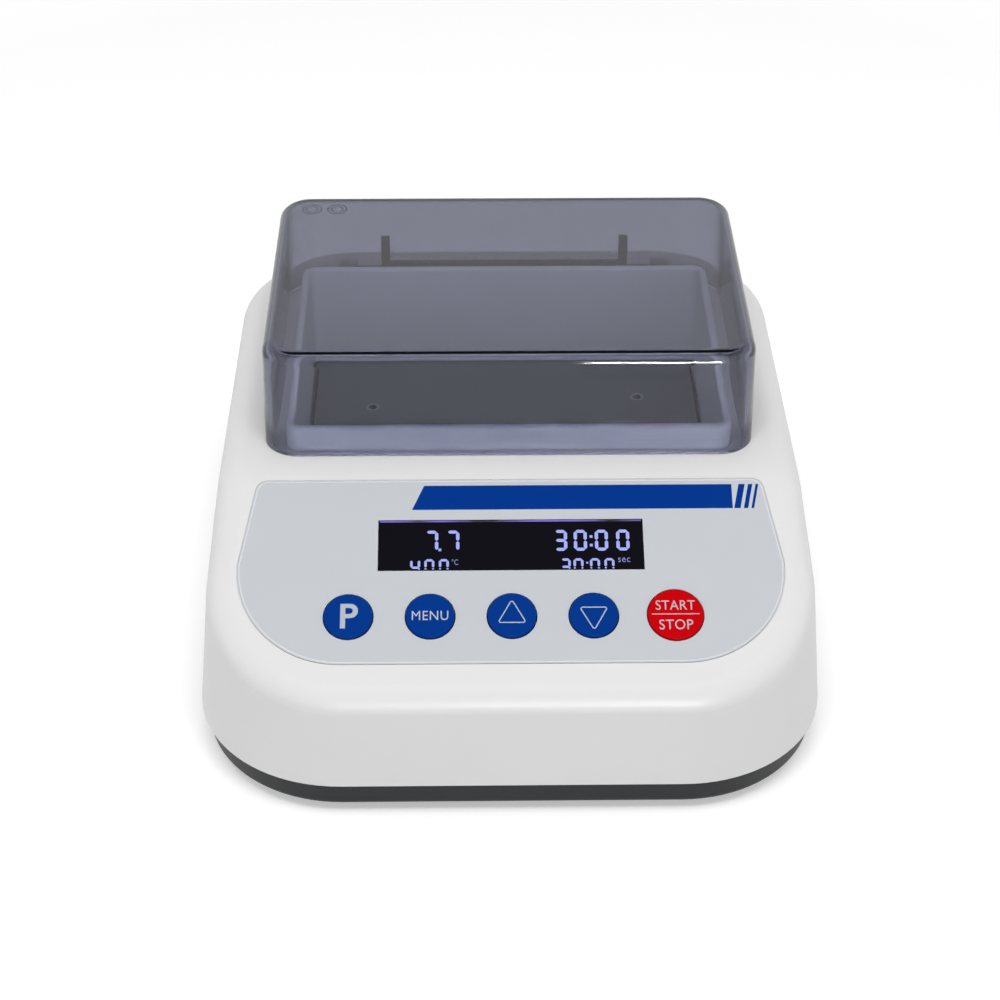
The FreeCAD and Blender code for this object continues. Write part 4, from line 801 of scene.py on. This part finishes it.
class DRYBATH_OT_sheet(DryBathOperator):
    """Finish the control sheet and print its bar, stripes and edge line"""

    bl_idname = "drybath.sheet"
    bl_label = "Control sheet"

    def execute(self, context):
        panel = context.scene.drybath_panel
        dress(printed_film("Control film", panel.sheet, 0.42), "control_overlay")
        ink = printed_film("Blue print", panel.bar, 0.4, 0.03)
        depth = panel.print_depth
        lift = -0.01 * MM
        shapes = [[(BAR_LEFT_LOW, BAR_LOW), (BAR_RIGHT, BAR_LOW), (BAR_RIGHT, BAR_HIGH),
                   (BAR_LEFT_HIGH, BAR_HIGH)]]
        for start, width in STRIPES:
            low = start - STRIPE_SLANT
            high = start + STRIPE_SLANT
            shapes.append([(low, BAR_LOW), (low + width, BAR_LOW), (high + width, BAR_HIGH),
                           (high, BAR_HIGH)])
        outlines = [[(x * MM, y * MM) for x, y in shape] for shape in shapes]
        mesh = plate_mesh(outlines, depth)
        mesh.transform(on_panel(0.0, 0.0, lift))
        new_piece("sheet_bar", mesh, ink, "case")

        pale = printed_film("Pale print", panel.edge, 0.4)
        half = SHEET_HALF - EDGE_INSET
        top_half = SHEET_TOP_HALF - EDGE_INSET
        top = SHEET_TOP - EDGE_INSET
        bottom = SHEET_BOTTOM + EDGE_INSET
        corner = SHEET_CORNER - EDGE_INSET
        top_corner = SHEET_TOP_CORNER - EDGE_INSET
        corners = [
            (-half, bottom, corner), (half, bottom, corner), (half, SHEET_SHOULDER, 0),
            (top_half, top, top_corner), (-top_half, top, top_corner), (-half, SHEET_SHOULDER, 0)]
        outline = [(x * MM, y * MM) for x, y in rounded(corners, 16)]
        mesh = grow(printed_line_tree(), path_mesh([outline], True), material=pale,
                    width=panel.edge_width, depth=depth)
        mesh.transform(on_panel(0.0, 0.0, depth / 2 + lift))
        new_piece("sheet_edge_line", mesh, pale, "case")
        return {"FINISHED"}


class DRYBATH_OT_keys(DryBathOperator):
    """Finish the five keys and print their legends"""

    bl_idname = "drybath.keys"
    bl_label = "Keys"

    def execute(self, context):
        panel = context.scene.drybath_panel
        blue = moulded("Blue key", panel.key, 0.34, 0.5 * MM, 0.01 * MM, 0.04, Specular_IOR_Level=0.03)
        red = moulded("Red key", panel.start, 0.34, 0.5 * MM, 0.01 * MM, 0.04, Specular_IOR_Level=0.03)
        dress(blue, "key_program", "key_menu", "key_up", "key_down")
        dress(red, "key_start_stop")
        ink = printed_film("Legend print", panel.legend, 0.4)
        depth = panel.print_depth
        tree = printed_line_tree()

        mesh = lettering("P", 8.0 * MM, on_key(-2, depth / 4) @ Matrix.Translation((0.3 * MM, 0, 0)), depth,
                         weight=0.018)
        new_piece("legend_program", mesh, ink, "key_program")
        mesh = lettering("MENU", 3.0 * MM, on_key(-1, depth / 4), depth, 0.0, 1.08, 10.7 * MM)
        new_piece("legend_menu", mesh, ink, "key_menu")
        for name, place, side in (("up", 0, 1), ("down", 1, -1)):
            half, foot, tip, bend = (length * MM for length in (4.1, -2.4 * side, 5.0 * side, 0.5))
            corners = [(-half, foot, bend), (half, foot, bend), (0.0, tip, bend)]
            mesh = grow(tree, path_mesh([rounded(corners, 5)], True), material=ink,
                        width=panel.stroke, depth=depth)
            mesh.transform(on_key(place, depth / 4))
            new_piece("legend_" + name, mesh, ink, "key_" + name)
        words = [
            lettering("START", 3.1 * MM, on_key(2, depth / 4) @ Matrix.Translation((0, 2.9 * MM, 0)),
                      depth, 0.0, 1.05, 11.6 * MM),
            lettering("STOP", 3.2 * MM, on_key(2, depth / 4) @ Matrix.Translation((0, -3.4 * MM, 0)),
                      depth, 0.0, 1.05, 9.9 * MM)]
        line = grow(tree, path_mesh([[(-7.0 * MM, 0.0), (7.0 * MM, 0.0)]], False), material=ink,
                    width=panel.stroke * 0.8, depth=depth)
        line.transform(on_key(2, depth / 4))
        new_piece("legend_start_stop", merged([*words, line]), ink, "key_start_stop")
        return {"FINISHED"}


SEGMENTS = {
    "0": "abcdef", "1": "bc", "2": "abged", "3": "abgcd", "4": "fgbc", "5": "afgcd", "6": "afgedc",
    "7": "abc", "8": "abcdefg", "9": "abcdfg",
}


def digit_paths(figure, x, top, width, height, stroke, floor):
    """Centre lines of the lit segments of one figure, cut off at the window's lower edge."""
    gap = 0.07 * stroke
    left = x + stroke / 2
    right = x + width - stroke / 2
    high = top - stroke / 2
    low = top - height + stroke / 2
    middle = (high + low) / 2
    ends = {
        "a": ((left, high), (right, high)), "b": ((right, high), (right, middle)),
        "c": ((right, middle), (right, low)), "d": ((left, low), (right, low)),
        "e": ((left, middle), (left, low)), "f": ((left, high), (left, middle)),
        "g": ((left, middle), (right, middle))}
    paths = []
    for letter in SEGMENTS[figure]:
        start, stop = (Vector(point) for point in ends[letter])
        along = (stop - start).normalized()
        start = start + along * gap
        stop = stop - along * gap
        if start.y < floor + stroke / 2:
            continue
        tip = stroke / 2
        path = [start, start + along * tip, stop - along * tip, stop]
        if stop.y < floor:
            path = [start, start + along * tip, Vector((stop.x, floor))]
            if path[1].y <= floor:
                continue
        paths.append([(point.x, point.y) for point in path])
    return paths


# Each digit and its left edge, then the dots as x, y and side, all in mm from the window's middle.
LARGE_ROW = (("7", -25.6), ("7", -19.3), ("3", 12.9), ("0", 18.8), ("0", 25.1), ("0", 31.5))
SMALL_ROW = (("4", -30.0), ("0", -25.8), ("0", -21.5), ("3", 14.7), ("0", 18.5), ("0", 23.4), ("0", 27.7))
DOTS = ((-21.2, -1.6, 0.85), (24.0, 2.6, 0.85), (24.0, -0.3, 0.85), (22.6, -6.2, 0.6))
DIGITS_CUT_OFF = -8.2 * MM
END_TAPER = 0.06


class DRYBATH_OT_display(DryBathOperator):
    """Finish the display window and light its digits"""

    bl_idname = "drybath.display"
    bl_label = "Display"

    def execute(self, context):
        display = context.scene.drybath_display
        depth = context.scene.drybath_panel.print_depth
        glass = moulded("Window glass", display.glass, 0.12, 6 * MM, 0.004 * MM, 0.02,
                        Specular_IOR_Level=0.15)
        dress(glass, "display_window")
        light = lit("Lit digit", display.digit, display.strength)
        tree = printed_line_tree()
        parts = []
        for row, top, width, height, stroke in (
                (LARGE_ROW, 4.9 * MM, 3.95 * MM, display.large, 1.0 * MM),
                (SMALL_ROW, -4.7 * MM, 3.0 * MM, display.small, 0.75 * MM)):
            paths = []
            for figure, left in row:
                paths += digit_paths(figure, left * MM, top, width, height, stroke, DIGITS_CUT_OFF)
            parts.append(grow(tree, path_mesh(paths, False), material=light, width=stroke, depth=depth,
                              end_width=END_TAPER))
        squares = []
        for x, y, side in DOTS:
            half = side / 2
            squares.append([((x + sx * half) * MM, (y + sy * half) * MM)
                            for sx, sy in ((-1, -1), (1, -1), (1, 1), (-1, 1))])
        parts.append(plate_mesh(squares, depth))
        for mesh in parts:
            mesh.transform(on_panel(0.0, 0.0, depth / 4))
        new_piece("display_digits", merged(parts), light, "case")

        dim = lit("Lit word", display.digit, display.strength * 0.6)
        words = [
            lettering("°C", 1.9 * MM, on_panel(-16.7 * MM, -5.7 * MM, depth / 4), depth, width=1.9 * MM),
            lettering("sec", 1.5 * MM, on_panel(33.6 * MM, -5.3 * MM, depth / 4), depth, spread=1.1,
                      width=3.6 * MM)]
        new_piece("display_words", merged(words), dim, "case")

        leak = glow_line("Light leak", display.leak, display.strength)
        half, height = 39.2 * MM, 8.05 * MM
        mesh = grow(tree, path_mesh([[(-half, height), (half, height)]], False), material=leak,
                    width=0.5 * MM, depth=depth)
        mesh.transform(on_panel(0.0, 0.0, depth / 4))
        new_piece("display_light_line", mesh, leak, "case")
        return {"FINISHED"}


class DRYBATH_OT_lid(DryBathOperator):
    """Finish the smoked lid and its hinge"""

    bl_idname = "drybath.lid"
    bl_label = "Lid and hinge"

    def execute(self, context):
        lid = context.scene.drybath_lid
        clear = smoked("Smoked plastic", lid.tint, lid.wall)
        dress(clear, "lid")
        black = moulded("Hinge plastic", lid.hinge, 0.4, 0.4 * MM, 0.02 * MM, 0.1)
        dress(black, "hinge_bracket")
        dress(metal("Blackened steel", lid.pin, 0.4, 0.2 * MM), "hinge_pin")

        raised = Finish("Moulded mark")
        wear = raised.noise(0.8 * MM, 2.0)
        mark = raised.surface(Base_Color=(0.02, 0.02, 0.022, 1.0), Roughness=0.5, Alpha=wear * 0.3 + 0.15)
        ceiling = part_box("lid")[1].z - lid.wall
        depth = 0.06 * MM
        rings = []
        for x in MARK_PLACES:
            for radius in MARK_RADII:
                mesh = grow(printed_line_tree(), path_mesh([ellipse(radius, radius, 48)], True),
                            material=mark, width=0.4 * MM, depth=depth)
                mesh.transform(Matrix.Translation((x, MARK_ROW, ceiling - depth / 2)))
                rings.append(mesh)
        new_piece("lid_marks", merged(rings), mark, "lid")
        return {"FINISHED"}


def softbox(name, place, width, height, power):
    """A rectangular lamp that faces the object."""
    data = bpy.data.lights.new(name, "AREA")
    data.shape = "RECTANGLE"
    data.size = width
    data.size_y = height
    data.energy = power
    lamp = bpy.data.objects.new(name, data)
    lamp.location = place
    lamp.rotation_mode = "QUATERNION"
    lamp.rotation_quaternion = (OBJECT_MIDDLE - Vector(place)).to_track_quat("-Z", "Y")
    bpy.context.scene.collection.objects.link(lamp)
    return lamp


# Lamps are aimed at the object's middle; the camera's turns are in degrees.
OBJECT_MIDDLE = Vector((0.0, 0.0, 0.05))
FLOOR_REACH = 3.0
CAMERA_PLACE = (-0.01143, -0.57412, 0.45514)
CAMERA_PITCH, CAMERA_YAW, CAMERA_ROLL = 36.0, 0.906, 0.195


class DRYBATH_OT_stage(DryBathOperator):
    """Make the floor, the lamps, the even light and the camera"""

    bl_idname = "drybath.stage"
    bl_label = "Studio"

    def execute(self, context):
        stage = context.scene.drybath_stage
        scene = context.scene
        scene.view_settings.view_transform = "Standard"

        build = bmesh.new()
        bmesh.ops.create_grid(build, x_segments=8, y_segments=8, size=FLOOR_REACH)
        mesh = bpy.data.meshes.new("floor")
        build.to_mesh(mesh)
        build.free()
        floor = bpy.data.objects.new("studio_floor", mesh)
        scene.collection.objects.link(floor)
        paint = Finish("Studio floor")
        rays = paint.add("ShaderNodeLightPath", output="Is Camera Ray")
        seen = rays + paint.other(rays, "Is Glossy Ray") + paint.other(rays, "Is Transmission Ray")
        distance = paint.add("ShaderNodeVectorMath", {"operation": "LENGTH"}, [paint.place], output=1)
        lift = paint.add("ShaderNodeMapRange", None, [distance, 0.5, 1.6, 0.4, 1.0])
        shader = paint.add("ShaderNodeBsdfPrincipled", None, {
            "Base Color": rgba(stage.floor), "Roughness": 0.9, "Emission Color": (1, 1, 1, 1),
            "Emission Strength": seen * lift})
        paint.add("ShaderNodeOutputMaterial", None, {"Surface": shader})
        mesh.materials.append(paint.material)

        world = bpy.data.worlds.new("Even light")
        scene.world = world
        world.use_nodes = True
        sky = Recipe(world.node_tree)
        world.node_tree.nodes.clear()
        rays = sky.add("ShaderNodeLightPath", output="Is Camera Ray")
        glossy = sky.other(rays, "Is Glossy Ray")
        seen = sky.add("ShaderNodeMath", {"operation": "ADD", "use_clamp": True}, [
            rays, sky.other(rays, "Is Transmission Ray") + glossy])
        direction = sky.add("ShaderNodeTexCoord", output="Generated")
        height = sky.add("ShaderNodeSeparateXYZ", None, [direction], output="Z")
        dark_top = sky.add("ShaderNodeMapRange", {"interpolation_type": "SMOOTHSTEP"}, [
            height, 0.62, 0.92, 0.0, stage.dark_top])
        strength = (seen * (1.0 - stage.sky) + stage.sky) * (1.0 - dark_top * glossy)
        light = sky.add("ShaderNodeBackground", None, {"Color": (1, 1, 1, 1), "Strength": strength})
        sky.add("ShaderNodeOutputWorld", None, {"Surface": light})

        softbox("lamp_left", (-1.2, -0.2, 0.42), 0.7, 0.5, stage.side_power)
        softbox("lamp_right", (1.2, -0.2, 0.42), 0.7, 0.5, stage.side_power)
        high = softbox("lamp_front", (0.0, -0.55, 1.45), 0.9, 0.5, stage.front_power)
        high.visible_glossy = False
        glint = softbox("lamp_low", (0.185, -1.5, 0.22), 0.17, 0.06, stage.glint_power)
        glint.visible_diffuse = False

        data = bpy.data.cameras.new("camera")
        data.lens = stage.lens
        data.sensor_width = 36.0
        data.clip_start = 0.01
        camera = bpy.data.objects.new("camera", data)
        pitch, yaw, roll = (math.radians(turn) for turn in (CAMERA_PITCH, CAMERA_YAW, CAMERA_ROLL))
        turn = (Matrix.Rotation(-yaw, 4, "Z") @ Matrix.Rotation(math.pi / 2 - pitch, 4, "X")
                @ Matrix.Rotation(roll, 4, "Z"))
        camera.matrix_world = Matrix.Translation(CAMERA_PLACE) @ turn
        scene.collection.objects.link(camera)
        scene.camera = camera
        return {"FINISHED"}


STEPS = ("case", "inside", "screws", "sheet", "keys", "display", "lid", "stage")


class DRYBATH_PT_panel(bpy.types.Panel):
    """Buttons for each step, in the order they are run"""

    bl_idname = "DRYBATH_PT_panel"
    bl_label = "Dry bath incubator"
    bl_space_type = "VIEW_3D"
    bl_region_type = "UI"
    bl_category = "Dry Bath"

    def draw(self, context):
        for step in STEPS:
            self.layout.operator("drybath." + step)
        for name in GROUPS:
            group = getattr(context.scene, name)
            box = self.layout.box()
            for prop in group.bl_rna.properties:
                if prop.identifier not in ("name", "rna_type"):
                    box.prop(group, prop.identifier)


GROUPS = {
    "drybath_case": DRYBATH_PG_case,
    "drybath_panel": DRYBATH_PG_panel,
    "drybath_display": DRYBATH_PG_display,
    "drybath_lid": DRYBATH_PG_lid,
    "drybath_stage": DRYBATH_PG_stage,
}
OPERATORS = (
    DRYBATH_OT_case, DRYBATH_OT_inside, DRYBATH_OT_screws, DRYBATH_OT_sheet, DRYBATH_OT_keys,
    DRYBATH_OT_display, DRYBATH_OT_lid, DRYBATH_OT_stage)


def register():
    for name, group in GROUPS.items():
        bpy.utils.register_class(group)
        setattr(bpy.types.Scene, name, bpy.props.PointerProperty(type=group))
    for operator in OPERATORS:
        bpy.utils.register_class(operator)
    bpy.utils.register_class(DRYBATH_PT_panel)


def unregister():
    bpy.utils.unregister_class(DRYBATH_PT_panel)
    for operator in reversed(OPERATORS):
        bpy.utils.unregister_class(operator)
    for name, group in reversed(GROUPS.items()):
        delattr(bpy.types.Scene, name)
        bpy.utils.unregister_class(group)


def main():
    register()
    for step in STEPS:
        getattr(bpy.ops.drybath, step)()


if __name__ == "__main__":
    main()
